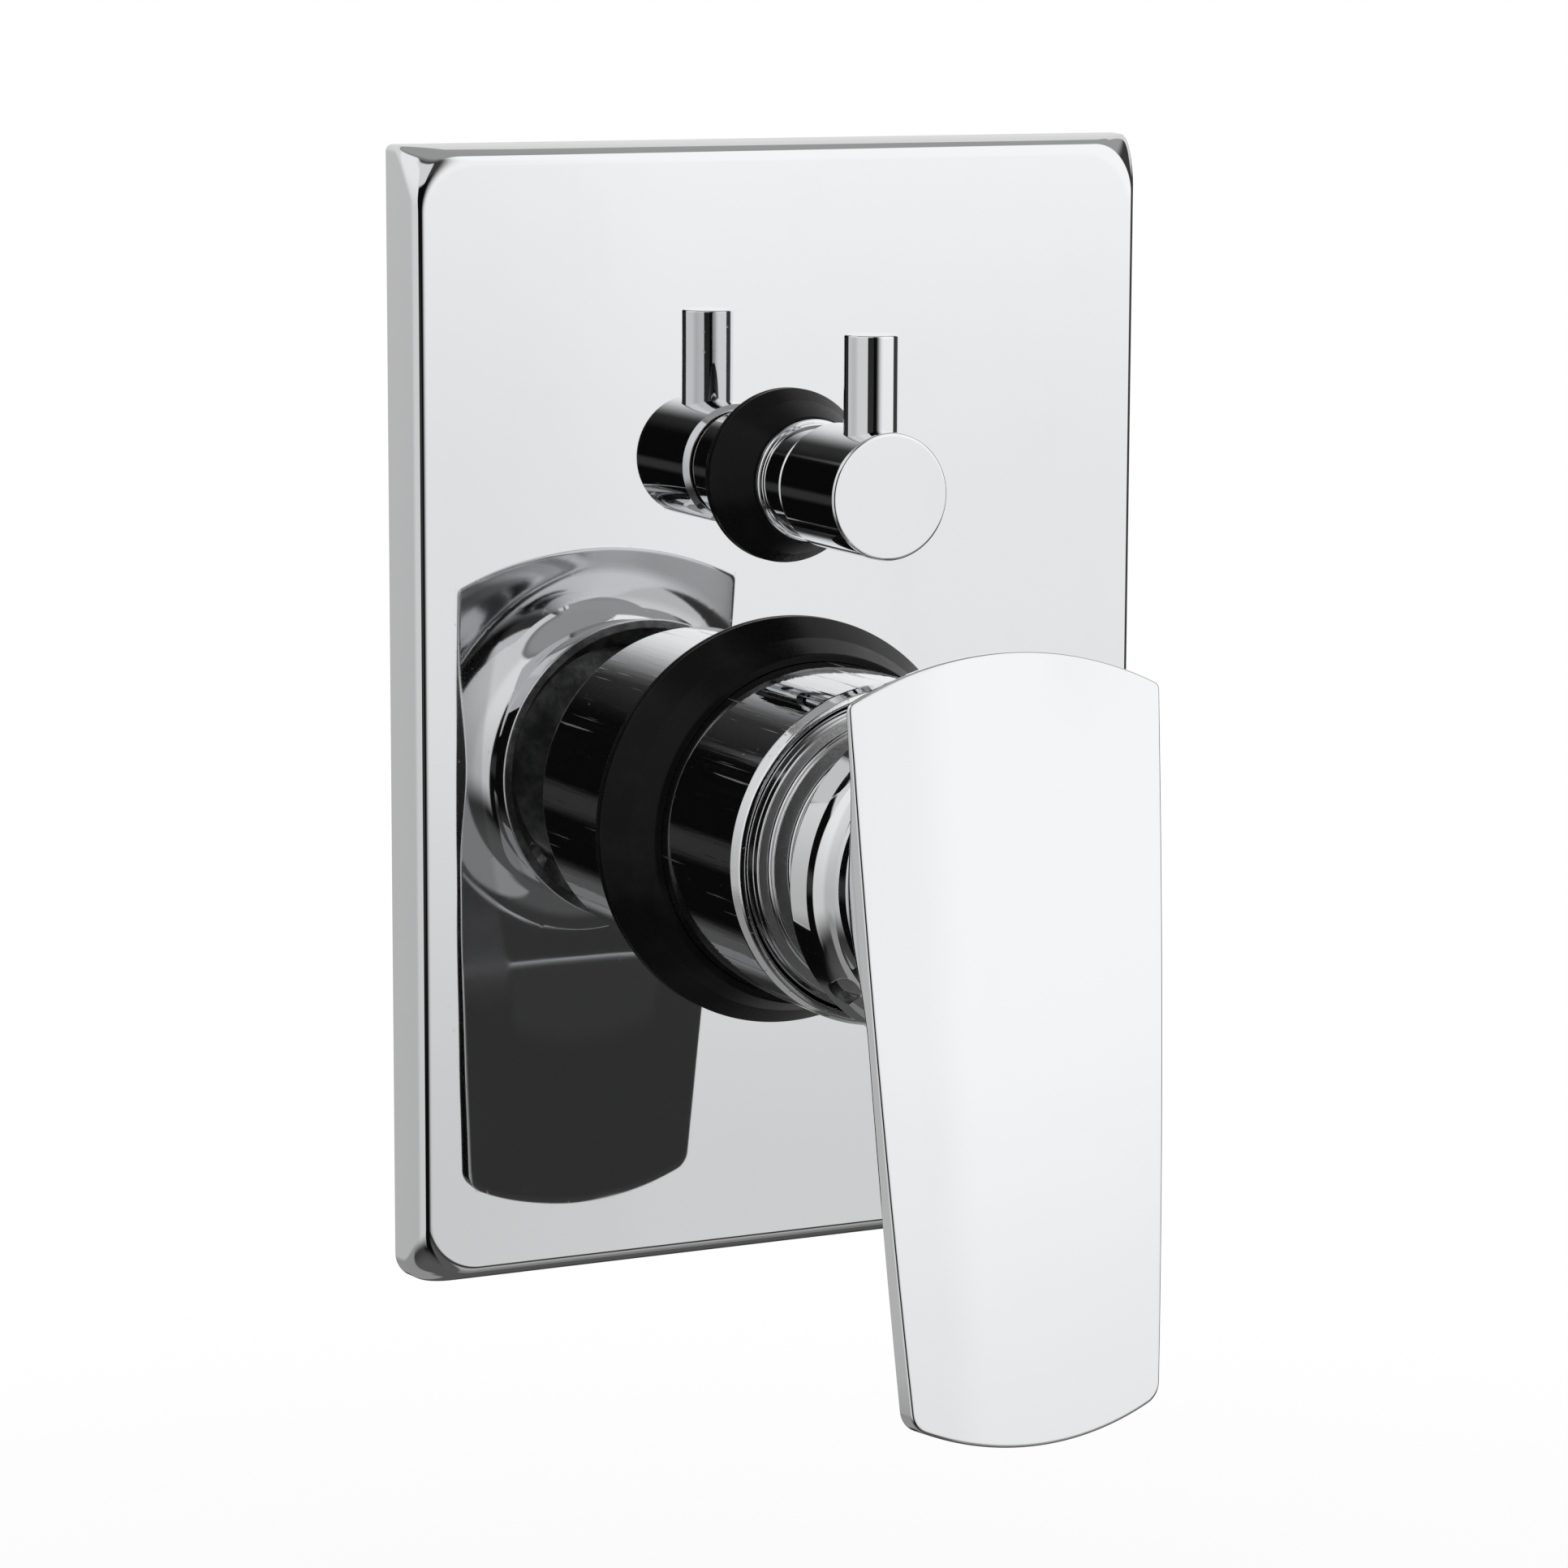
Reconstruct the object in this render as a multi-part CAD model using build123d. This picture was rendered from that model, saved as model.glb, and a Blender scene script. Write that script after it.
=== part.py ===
from build123d import *
import math
import os

# Concealed single lever mixer with a turning diverter above it, in millimetres.
# Every piece is drawn looking at the wall: x to the right, y up and z out of the wall, with the
# finished wall at z = 0 and the middle of the wall plate at x = y = 0. hang() then turns the
# drawing so that z is up and the wall lies towards +y.

# Wall plate: a pan with sharp corners at the wall and round ones in front
plate_width = 144.0
plate_height = 200.0
plate_depth = 9.7
plate_wall = 1.6
plate_draft = 0.4
plate_back_corner = 1.2
plate_front_corner = 9.0
plate_front_round = 2.4
gasket_width = 6.0
gasket_gap = 0.4

# The two axes that stand square to the wall
mixer_y = -21.0
diverter_y = 41.0

# Clearances
seal_clearance = 0.05
slide_clearance = 0.3
running_clearance = 0.05
thread_clearance = 0.05
face_gap = 0.05

# Shells round the cartridge, each worked out from the one inside it
cartridge_radius = 20.0
nut_ring_width = 2.0
barrel_thread_wall = 3.0
barrel_step = 2.0
barrel_gap = 1.7
sleeve_wall = 1.3
nut_thread_radius = cartridge_radius + nut_ring_width
barrel_thread_radius = nut_thread_radius + barrel_thread_wall
barrel_radius = barrel_thread_radius + barrel_step
sleeve_radius = barrel_radius + barrel_gap + sleeve_wall

# Chrome sleeve round the mixer barrel
sleeve_front = 51.5
sleeve_tail_gap = 1.4
sleeve_lip_width = 1.9
sleeve_lip_depth = 3.0
sleeve_round = 0.9

# Rubber seal between the plate and the sleeve: a flange that climbs the sleeve in two slopes
mixer_seal_radius = sleeve_radius + 6.8
mixer_seal_edge = 2.3
mixer_seal_crest_radius = sleeve_radius + 3.6
mixer_seal_crest = 6.6
mixer_seal_height = 11.8
mixer_seal_lip = 1.3
seal_spigot_wall = 1.5
seal_rounding = 1 / 3

# Diverter collar and its rubber seal
collar_radius = 10.1
collar_wall = 0.8
collar_front = 27.4
collar_back = 2.0
collar_bead_radius = collar_radius + 0.7
collar_bead_at = 19.8
collar_bead_width = 1.4
collar_bead_round = 0.6
collar_round = 0.4
diverter_seal_radius = collar_radius + 5.4
diverter_seal_edge = 1.7
diverter_seal_crest_radius = collar_radius + 3.5
diverter_seal_crest = 4.4
diverter_seal_height = 9.2
diverter_seal_lip = 0.9

# Diverter knob and its pin
knob_radius = 11.0
knob_gap = 1.2
knob_length = 21.1
knob_rear_chamfer = 0.9
knob_front_round = 0.5
pin_radius = 4.7
pin_from_front = 7.5
pin_reach = 27.25
pin_seat = 8.5
pin_edge = 0.35
pin_stub_radius = 2.5
knob_screw_radius = 2.0
knob_screw_length = 5.5
knob_screw_from_back = 7.0

# Diverter headwork, spindle and discs
headwork_thread_radius = 11.0
headwork_foot = -24.0
headwork_shoulder = -4.0
headwork_hex_flats = 20.0
headwork_hex_height = 5.0
collar_gap = 0.3
headwork_neck_radius = collar_radius - collar_wall - collar_gap
headwork_neck_front = 26.5
headwork_wall = 1.3
disc_gap = 0.3
diverter_disc_radius = headwork_thread_radius - headwork_wall - disc_gap
diverter_disc_thickness = 3.9
diverter_seat_seal_thickness = 2.0
diverter_port_radius = 2.2
diverter_port_pitch = 6.4
diverter_feed_radius = 2.0
diverter_pocket_depth = 1.8
spindle_foot_thickness = 4.0
spindle_radius = 4.5
spindle_drive_radius = 4.0
spindle_drive_depth = 12.4
spindle_flat = 3.2
spindle_groove_at = 8.0
spindle_groove_width = 1.5
spindle_o_ring_cord = 0.58
circlip_thickness = 0.8
circlip_radius = 6.4
circlip_bite = 1.0
circlip_gap_deg = 60.0

# Mixer cartridge
cartridge_seat = 14.0
cartridge_wall = 2.4
cartridge_shoulder = 45.5
cartridge_roof = 43.2
cartridge_neck_radius = cartridge_radius - 5.0
cartridge_neck_front = 54.5
base_lift = 0.8
base_flange_top = 16.0
disc_plane = 25.0
disc_thickness = 5.0
fixed_disc_radius = cartridge_radius - cartridge_wall - disc_gap
moving_disc_margin = 4.6
moving_disc_radius = fixed_disc_radius - moving_disc_margin
disc_pocket_depth = 1.8
disc_pocket_length = 16.0
disc_pocket_width = 8.0
carrier_radius = moving_disc_radius - 0.5
carrier_height = 7.9
port_radius = 3.4
port_pitch = 10.2
port_angles = (90.0, 210.0, 330.0)
base_seal_cord = 1.0
base_seal_land = 0.2
guide_radius = 10.9
guide_front = 55.0

# Lever spindle: it rocks on a cross pin and its ball moves the disc carrier
pivot_out = 52.0
pivot_pin_radius = 1.5
pivot_pin_length = 21.0
ball_radius = 3.0
ball_arm = 11.0
ball_clearance = 0.2
shank_radius = 1.9
blade_width = 7.6
blade_depth = 5.6
blade_foot = 44.5
square_foot = 58.0
square_side = 8.0
square_chamfer = 0.8
tilt_limit_deg = 24.0

# Valve body behind the wall
barrel_front = 50.0
barrel_thread_foot = 40.0
barrel_bore_clearance = 0.2
nut_thread_depth = 4.4
nut_front = 53.0
nut_flats = 34.0
nut_bore_clearance = 0.4
body_back = -44.0
diverter_boss_radius = headwork_thread_radius + 4.0
inlet_out = -24.0
outlet_out = -30.0
port_boss_radius = 13.0
port_collar_flats = 27.0
port_collar_length = 9.0
port_thread_radius = 9.32
port_thread_length = 15.0
port_mouth_chamfer = 1.0
port_relief_radius = 10.5
port_relief_length = 2.0
inlet_passage_radius = 5.5
inlet_reach = 45.0
spout_reach = 74.0
shower_reach = 82.0
riser_out = -29.0
bypass_out = -37.0
bypass_x = 5.0
shower_passage_x = -7.2
shower_passage_radius = 3.2
web_wall = 3.0
lug_thickness = 6.0
lug_out = -30.0
lug_radius = 7.5
lug_arm_width = 10.5
lug_hole_radius = 2.75
lug_spacing_x = 66.0
lug_spacing_y = 96.0
lug_centre_y = -8.0
sleeve_ring_at = 22.0
sleeve_ring_groove = 0.8
sleeve_ring_cord = (barrel_gap + sleeve_ring_groove) / 2 - face_gap
collar_ring_at = 13.0
collar_ring_groove = 0.65
collar_ring_cord = (collar_gap + collar_ring_groove - face_gap) / 2

# Bonnet ring inside the front of the sleeve
bonnet_radius = barrel_thread_radius + 2.5
bonnet_back = 42.0
bonnet_step_widths = (1.1, 3.1, 6.0)
bonnet_step_fronts = (50.6, 52.3, 54.2, 56.0)
bonnet_slope = 0.5
bonnet_crown_radius = 14.0
bonnet_crown = 59.2
bonnet_mouth_radius = 11.5
bonnet_wall = 2.0

# Lever handle: a round cup that flows into a long tapered paddle
lever_front = 96.0
lever_lean_deg = 6.3
lever_top = 40.8
lever_top_half_width = 29.2
lever_top_corner_y = 33.8
lever_top_corner = 1.5
lever_bottom = -91.0
lever_bottom_half_width = 23.4
lever_bottom_corner_y = -85.5
lever_bottom_corner = 4.0
lever_side_bulge = 0.7
lever_crown_radius = 450.0
lever_top_thickness = 1.7
lever_bottom_thickness = 5.0
lever_edge_round = 0.5
cup_height = 26.3
square_from_face = 16.0
square_front = lever_front - square_from_face
cup_radius = sleeve_radius - 1.0
cup_shoulder_radius = cup_radius - 0.6
cup_shoulder_share = 0.2
cup_waist_radius = cup_shoulder_radius - 3.0
cup_waist_share = 0.365
cup_floor_share = 0.75
cup_blend_share = 0.4
cup_wall = 1.8
socket_boss_radius = 8.5
socket_boss_gap = 6.8
socket_clearance = 0.1
lever_screw_radius = 2.5
lever_screw_length = 5.0
lever_screw_angle = 219.0
screw_chamfer = 0.4
screw_key_flats = 2.5
screw_key_depth = 2.5


def hang(piece):
    """Turn a piece from the drawing's frame, z out of the wall, to the frame with z up."""
    return Rot(90, 0, 0) * piece


def turned(points):
    """Solid of revolution about z from (radius, z) corners."""
    profile = make_face(Plane.XZ * Polyline(*points, close=True))
    return revolve(profile, Axis.Z)


def rod(radius, low, high):
    """Round bar along z from low to high."""
    return Pos(0, 0, low) * Cylinder(radius, high - low, align=(Align.CENTER, Align.CENTER, Align.MIN))


def tube(outer, inner, low, high):
    """Round tube along z from low to high."""
    return rod(outer, low, high) - rod(inner, low, high)


def prism(flats, low, high):
    """Hexagonal bar along z, measured across its flats."""
    corner = flats / 2 / math.cos(math.pi / 6)
    return Pos(0, 0, low) * extrude(RegularPolygon(corner, 6), high - low)


def upright(radius, low, high, out=0.0, x=0.0):
    """Round bar along y from low to high."""
    bar = Cylinder(radius, high - low, align=(Align.CENTER, Align.CENTER, Align.MIN))
    return Pos(x, low, out) * Rot(-90, 0, 0) * bar


def crosswise(radius, low, high, y=0.0, out=0.0):
    """Round bar along x from low to high."""
    bar = Cylinder(radius, high - low, align=(Align.CENTER, Align.CENTER, Align.MIN))
    return Pos(low, y, out) * Rot(0, 90, 0) * bar


def on_mixer(piece):
    """Move a piece drawn round z on to the mixer's axis."""
    return Pos(0, mixer_y, 0) * piece


def on_diverter(piece):
    """Move a piece drawn round z on to the diverter's axis."""
    return Pos(0, diverter_y, 0) * piece


def pan(inset, depth):
    """The plate's outer form, or with an inset the hollow behind it."""
    back = RectangleRounded(plate_width - 2 * inset, plate_height - 2 * inset, plate_back_corner)
    shrink = 2 * (inset + plate_draft)
    front_corner = plate_front_corner - inset
    front = RectangleRounded(plate_width - shrink, plate_height - shrink, front_corner)
    return loft([back, Pos(0, 0, depth) * front], ruled=True)


def plate_holes(low, high):
    """What passes through the plate: the spigots of both seals."""
    mixer_hole = on_mixer(rod(sleeve_radius + seal_spigot_wall + 2 * seal_clearance, low, high))
    diverter_hole = on_diverter(rod(collar_radius + seal_spigot_wall + 2 * seal_clearance, low, high))
    return mixer_hole + diverter_hole


def wall_plate():
    shell = pan(0, plate_depth)
    front_edges = shell.faces().sort_by(Axis.Z)[-1].edges()
    shell = fillet(front_edges, plate_front_round)
    shell -= pan(plate_wall, plate_depth - plate_wall)
    return shell - plate_holes(0, plate_depth)


def wall_gasket():
    """Foam strip inside the pan, level with its rim."""
    inset = plate_wall + plate_draft + gasket_gap
    outer_corner = plate_front_corner - plate_wall
    outer = RectangleRounded(plate_width - 2 * inset, plate_height - 2 * inset, outer_corner)
    inset += gasket_width
    inner_corner = outer_corner - gasket_width / 2
    inner = RectangleRounded(plate_width - 2 * inset, plate_height - 2 * inset, inner_corner)
    return extrude(outer - inner, plate_depth - plate_wall - face_gap)


def bell_seal(grip, radius, edge, crest_radius, crest, height, lip, rounding):
    """Rubber ring on the plate's face that climbs what it grips, with a spigot through the plate."""
    inner = grip + seal_clearance
    spigot = inner + seal_spigot_wall
    face = plate_depth + face_gap
    bell = turned(
        [
            (inner, plate_depth - plate_wall),
            (spigot, plate_depth - plate_wall),
            (spigot, face),
            (radius, face),
            (radius, face + edge),
            (crest_radius, face + crest),
            (inner + lip, face + height),
            (inner, face + height),
        ]
    )
    rims = bell.edges().filter_by(GeomType.CIRCLE)
    outer_rims = [rim for rim in rims if rim.center().Z > face and rim.radius > inner + lip / 2]
    return fillet(outer_rims, rounding)


def mixer_seal_ring():
    return on_mixer(
        bell_seal(
            sleeve_radius,
            mixer_seal_radius,
            mixer_seal_edge,
            mixer_seal_crest_radius,
            mixer_seal_crest,
            mixer_seal_height,
            mixer_seal_lip,
            mixer_seal_lip * seal_rounding,
        )
    )


def diverter_seal_ring():
    return on_diverter(
        bell_seal(
            collar_radius,
            diverter_seal_radius,
            diverter_seal_edge,
            diverter_seal_crest_radius,
            diverter_seal_crest,
            diverter_seal_height,
            diverter_seal_lip,
            diverter_seal_lip * seal_rounding,
        )
    )


def mixer_sleeve():
    """Chrome tube from just above the inlet bosses to a thickened lip in front."""
    sleeve_back = inlet_out + port_boss_radius + sleeve_tail_gap
    bore = sleeve_radius - sleeve_wall
    shell = tube(sleeve_radius, bore, sleeve_back, sleeve_front)
    lip_foot = sleeve_front - sleeve_lip_depth
    shell += tube(sleeve_radius, sleeve_radius - sleeve_lip_width, lip_foot, sleeve_front)
    front_edges = shell.faces().sort_by(Axis.Z)[-1].edges()
    return on_mixer(fillet(front_edges, sleeve_round))


def torus(pitch_radius, cord, out):
    return Pos(0, 0, out) * Torus(pitch_radius, cord)


def sleeve_groove_floor():
    return barrel_radius - sleeve_ring_groove


def sleeve_o_ring():
    """Lies in the barrel's groove and fills the space to the sleeve's bore."""
    pitch = sleeve_groove_floor() + face_gap + sleeve_ring_cord
    return on_mixer(torus(pitch, sleeve_ring_cord, sleeve_ring_at))


def bonnet_ring():
    """Stepped chrome ring screwed on the barrel's front thread, open in the middle."""
    first, second, third = [bonnet_radius - width for width in bonnet_step_widths]
    brim, ridge, terrace, shelf = bonnet_step_fronts
    thread = barrel_thread_radius + thread_clearance
    under = barrel_front + slide_clearance
    nut_room = nut_flats / 2 / math.cos(math.pi / 6) + slide_clearance
    ring = turned(
        [
            (thread, bonnet_back),
            (bonnet_radius, bonnet_back),
            (bonnet_radius, brim),
            (first, brim),
            (first, ridge),
            (second, ridge + bonnet_slope),
            (second, terrace),
            (third, terrace + bonnet_slope),
            (third, shelf),
            (bonnet_crown_radius, bonnet_crown),
            (bonnet_mouth_radius, bonnet_crown),
            (bonnet_mouth_radius, bonnet_crown - bonnet_wall),
            (bonnet_crown_radius, bonnet_crown - bonnet_wall),
            (nut_room, nut_front + slide_clearance),
            (thread, under),
        ]
    )
    return on_mixer(ring)


def cartridge_nut():
    """Brass nut that presses on the cartridge's shoulder."""
    foot = cartridge_shoulder + face_gap
    nut = rod(nut_thread_radius, foot, foot + nut_thread_depth)
    nut += prism(nut_flats, foot + nut_thread_depth, nut_front)
    nut -= rod(cartridge_neck_radius + nut_bore_clearance, foot, nut_front)
    return on_mixer(nut)


def sideways(piece, side, out):
    """Lay a piece drawn along z down towards -x or +x at the mixer's height."""
    return Pos(0, mixer_y, out) * Rot(0, 90 * side, 0) * piece


def endways(piece, end, y, out):
    """Lay a piece drawn along z down towards -y or +y from the height y."""
    return Pos(0, y, out) * Rot(-90 * end, 0, 0) * piece


def port_boss(reach):
    """Round boss along z that ends in a hexagonal collar."""
    collar_foot = reach - port_collar_length
    return rod(port_boss_radius, 0, reach) + prism(port_collar_flats, collar_foot, reach)


def port_bore(reach):
    """Threaded mouth of a boss, drawn at its minor diameter, with a lead-in and a relief below."""
    thread_foot = reach - port_thread_length
    lead_foot = reach - port_mouth_chamfer
    return turned(
        [
            (0, thread_foot - port_relief_length),
            (port_relief_radius, thread_foot - port_relief_length),
            (port_relief_radius, thread_foot),
            (port_thread_radius, thread_foot),
            (port_thread_radius, lead_foot),
            (port_thread_radius + port_mouth_chamfer, reach),
            (0, reach),
        ]
    )


def valve_body():
    """Brass casting: mixer barrel, diverter boss, four ports, a web between and the fixing lugs."""
    body = on_mixer(rod(barrel_radius, body_back, barrel_thread_foot))
    body += on_mixer(rod(barrel_thread_radius, barrel_thread_foot, barrel_front))
    body += on_diverter(rod(diverter_boss_radius, body_back, headwork_shoulder - face_gap))
    for side in (-1, 1):
        body += sideways(port_boss(inlet_reach), side, inlet_out)
    body += endways(port_boss(spout_reach + mixer_y), -1, mixer_y, outlet_out)
    body += endways(port_boss(shower_reach - diverter_y), 1, diverter_y, outlet_out)
    body += passage_web()
    for x in (-lug_spacing_x / 2, lug_spacing_x / 2):
        for y in (-lug_spacing_y / 2, lug_spacing_y / 2):
            body += fixing_lug(x, lug_centre_y + y)
            body -= Pos(x, lug_centre_y + y, lug_out) * Cylinder(lug_hole_radius, 2 * lug_thickness)
    body -= on_mixer(barrel_bores())
    body -= on_diverter(rod(headwork_thread_radius + thread_clearance, headwork_foot - face_gap, 0))
    body -= inlet_bores()
    return body - outlet_bores()


def passage_web():
    """Block that carries the riser and the spout's passage between the barrel and the diverter."""
    left = -port_radius - web_wall
    right = bypass_x + port_radius + web_wall
    back = bypass_out - port_radius - web_wall
    front = riser_out + port_radius + web_wall
    block = Box(right - left, diverter_y - mixer_y, front - back, align=(Align.MIN, Align.MIN, Align.MIN))
    block = fillet(block.edges().filter_by(Axis.Y), web_wall)
    return Pos(left, mixer_y, back) * block


def fixing_lug(x, y):
    """Flat ear on an arm that runs in to the casting."""
    ear = Pos(x, y, lug_out) * Cylinder(lug_radius, lug_thickness)
    root_y = mixer_y if y < mixer_y else diverter_y
    run = math.hypot(x, root_y - y)
    turn = math.degrees(math.atan2(root_y - y, -x))
    arm = Box(run, lug_arm_width, lug_thickness, align=(Align.MIN, Align.CENTER, Align.CENTER))
    return ear + Pos(x, y, lug_out) * Rot(0, 0, turn) * arm


def barrel_bores():
    """Room for the cartridge, the nut's thread, the O-ring's groove and the mixed water's drop."""
    cuts = rod(cartridge_radius + barrel_bore_clearance, cartridge_seat, barrel_front)
    nut_bore = nut_thread_radius + thread_clearance
    cuts += rod(nut_bore, cartridge_shoulder - slide_clearance, barrel_front)
    groove = 2 * (sleeve_ring_cord + seal_clearance)
    ring = tube(barrel_radius + slide_clearance, sleeve_groove_floor(), 0, groove)
    cuts += Pos(0, 0, sleeve_ring_at - groove / 2) * ring
    drops = (riser_out, inlet_out, inlet_out)
    for angle, foot in zip(port_angles, drops):
        x, y = at_angle(port_pitch, angle)
        cuts += Pos(x, y, 0) * rod(port_radius, foot, cartridge_seat)
    return cuts


def inlet_bores():
    """Hot and cold mouths and the passages that run in to the cartridge's feeds."""
    feed_x = port_pitch * math.cos(math.radians(port_angles[-1]))
    run = port_bore(inlet_reach) + rod(inlet_passage_radius, feed_x, inlet_reach)
    return sideways(run, -1, inlet_out) + sideways(run, 1, inlet_out)


def outlet_bores():
    """Riser from the mixer to the diverter, and from there up to the shower and down to the spout."""
    riser_foot = mixer_y + port_pitch
    cuts = upright(port_radius, riser_foot, diverter_y + diverter_feed_radius, riser_out)
    cuts += on_diverter(rod(diverter_feed_radius, riser_out, headwork_foot))
    cuts += endways(port_bore(shower_reach - diverter_y), 1, diverter_y, outlet_out)
    relief_middle = port_thread_length + port_relief_length / 2
    shower_mouth = shower_reach - relief_middle
    cuts += upright(shower_passage_radius, diverter_y, shower_mouth, outlet_out, shower_passage_x)
    shower_drop = rod(diverter_port_radius, outlet_out, headwork_foot)
    cuts += on_diverter(Pos(-diverter_port_pitch, 0, 0) * shower_drop)
    cuts += endways(port_bore(spout_reach + mixer_y), -1, mixer_y, outlet_out)
    spout_mouth = relief_middle - spout_reach
    cuts += upright(port_radius, spout_mouth, diverter_y, bypass_out, bypass_x)
    spout_drop = rod(diverter_port_radius, bypass_out, headwork_foot)
    return cuts + on_diverter(Pos(diverter_port_pitch, 0, 0) * spout_drop)


def at_angle(radius, angle_deg):
    return (radius * math.cos(math.radians(angle_deg)), radius * math.sin(math.radians(angle_deg)))


def port_holes(radius, pitch, low, high):
    """Three round passages at the cartridge's port angles."""
    holes = []
    for angle in port_angles:
        x, y = at_angle(pitch, angle)
        holes.append(Pos(x, y, 0) * rod(radius, low, high))
    return holes


def cartridge_base():
    """Plastic foot of the cartridge with three ports and a groove round each for its seal."""
    low = cartridge_seat + base_lift
    bore = cartridge_radius - cartridge_wall
    base = rod(cartridge_radius - face_gap, low, base_flange_top)
    base += rod(bore - slide_clearance, base_flange_top, disc_plane)
    for hole in port_holes(port_radius, port_pitch, low, disc_plane):
        base -= hole
    for angle in port_angles:
        x, y = at_angle(port_pitch, angle)
        floor = cartridge_seat + 2 * base_seal_cord + seal_clearance
        outer = port_radius + base_seal_land + 2 * base_seal_cord + seal_clearance
        base -= Pos(x, y, 0) * rod(outer, low, floor)
    return on_mixer(base)


def cartridge_seals():
    """Rubber rings that seal the three ports against the seat."""
    rings = []
    for angle in port_angles:
        x, y = at_angle(port_pitch, angle)
        pitch = port_radius + base_seal_land + base_seal_cord
        ring = torus(pitch, base_seal_cord, cartridge_seat + base_seal_cord)
        rings.append(on_mixer(Pos(x, y, 0) * ring))
    return rings


def cartridge_housing():
    """Plastic can that holds the discs, with a neck for the guide."""
    low = base_flange_top + face_gap
    can = rod(cartridge_radius, low, cartridge_shoulder)
    can += rod(cartridge_neck_radius, cartridge_shoulder, cartridge_neck_front)
    can -= rod(cartridge_radius - cartridge_wall, low, cartridge_roof)
    can -= rod(guide_radius + running_clearance, cartridge_roof, cartridge_neck_front)
    return on_mixer(can)


def fixed_disc():
    high = disc_plane + disc_thickness
    disc = rod(fixed_disc_radius, disc_plane, high)
    for hole in port_holes(port_radius, port_pitch, disc_plane, high):
        disc -= hole
    return on_mixer(disc)


def moving_disc_foot():
    return disc_plane + disc_thickness + face_gap


def moving_disc():
    """Upper ceramic disc with a blind pocket that joins the ports."""
    low = moving_disc_foot()
    disc = rod(moving_disc_radius, low, low + disc_thickness)
    pocket = extrude(SlotOverall(disc_pocket_length, disc_pocket_width), disc_pocket_depth)
    return on_mixer(disc - Pos(0, 0, low) * pocket)


def disc_carrier():
    """Plastic block on the moving disc, with a round pocket for the spindle's ball."""
    low = moving_disc_foot() + disc_thickness
    block = rod(carrier_radius, low, low + carrier_height)
    floor = pivot_out - ball_arm - ball_radius - 2 * ball_clearance
    return on_mixer(block - rod(ball_radius + ball_clearance, floor, low + carrier_height))


def spindle_guide():
    """Plastic drum that turns in the neck and carries the cross pin, slotted for the spindle."""
    low = cartridge_roof + face_gap
    drum = rod(guide_radius, low, guide_front)
    tilt = math.radians(tilt_limit_deg)
    half = blade_depth / 2
    side = blade_width / 2 + running_clearance
    above = guide_front - pivot_out
    below = pivot_out - low
    swing_up = half / math.cos(tilt) + above * math.tan(tilt) + slide_clearance
    swing_down = ball_radius + ball_arm * math.sin(tilt) + slide_clearance
    rest = half + slide_clearance
    upper = Box(2 * side, swing_up + rest, above, align=(Align.CENTER, Align.MIN, Align.MIN))
    lower = Box(2 * side, swing_down + rest, below, align=(Align.CENTER, Align.MAX, Align.MAX))
    drum -= Pos(0, -rest, pivot_out) * upper
    drum -= Pos(0, rest, pivot_out) * lower
    drum -= crosswise(pivot_pin_radius + face_gap / 2, -guide_radius, guide_radius, 0, pivot_out)
    return on_mixer(drum)


def pivot_pin():
    half = pivot_pin_length / 2
    return on_mixer(crosswise(pivot_pin_radius, -half, half, 0, pivot_out))


def lever_spindle():
    """Steel spindle: square head for the lever, flat blade on the cross pin, ball at the foot."""
    head_length = square_front - square_foot
    head = Box(square_side, square_side, head_length, align=(Align.CENTER, Align.CENTER, Align.MIN))
    head = chamfer(head.edges().filter_by(Axis.Z), square_chamfer)
    spindle = Pos(0, 0, square_foot) * head
    blade_length = square_foot - blade_foot
    blade = Box(blade_width, blade_depth, blade_length, align=(Align.CENTER, Align.CENTER, Align.MIN))
    spindle += Pos(0, 0, blade_foot) * blade
    spindle -= crosswise(pivot_pin_radius + running_clearance, -blade_width, blade_width, 0, pivot_out)
    ball_out = pivot_out - ball_arm
    spindle += rod(shank_radius, ball_out, blade_foot)
    spindle += Pos(0, 0, ball_out) * Sphere(ball_radius)
    return on_mixer(spindle)


def paddle_plane():
    """Plane of the lever's front face, leaning out towards the bottom, through the mixer axis."""
    lean = math.radians(lever_lean_deg)
    normal = (0, math.sin(lean), math.cos(lean))
    return Plane(origin=(0, 0, lever_front), x_dir=(1, 0, 0), z_dir=normal)


def paddle_outline():
    """Front outline: arched top and bottom, sides that taper with a slight swell."""
    top = lever_top_half_width
    bottom = lever_bottom_half_width
    middle_x = (top + bottom) / 2 + lever_side_bulge
    middle_y = (lever_top_corner_y + lever_bottom_corner_y) / 2
    top_left = (-top, lever_top_corner_y)
    top_right = (top, lever_top_corner_y)
    bottom_left = (-bottom, lever_bottom_corner_y)
    bottom_right = (bottom, lever_bottom_corner_y)
    outline = ThreePointArc(top_left, (0, lever_top), top_right)
    outline += ThreePointArc(top_right, (middle_x, middle_y), bottom_right)
    outline += ThreePointArc(bottom_right, (0, lever_bottom), bottom_left)
    outline += ThreePointArc(bottom_left, (-middle_x, middle_y), top_left)
    face = make_face(outline)
    corners = face.vertices().sort_by(Axis.Y)
    face = fillet(corners[:2], lever_bottom_corner)
    corners = face.vertices().sort_by(Axis.Y)
    return fillet(corners[-2:], lever_top_corner)


def cup_level(share):
    """How far out of the wall a share of the cup's height lies, from its rim towards the paddle."""
    return lever_front - cup_height * (1 - share)


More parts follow.
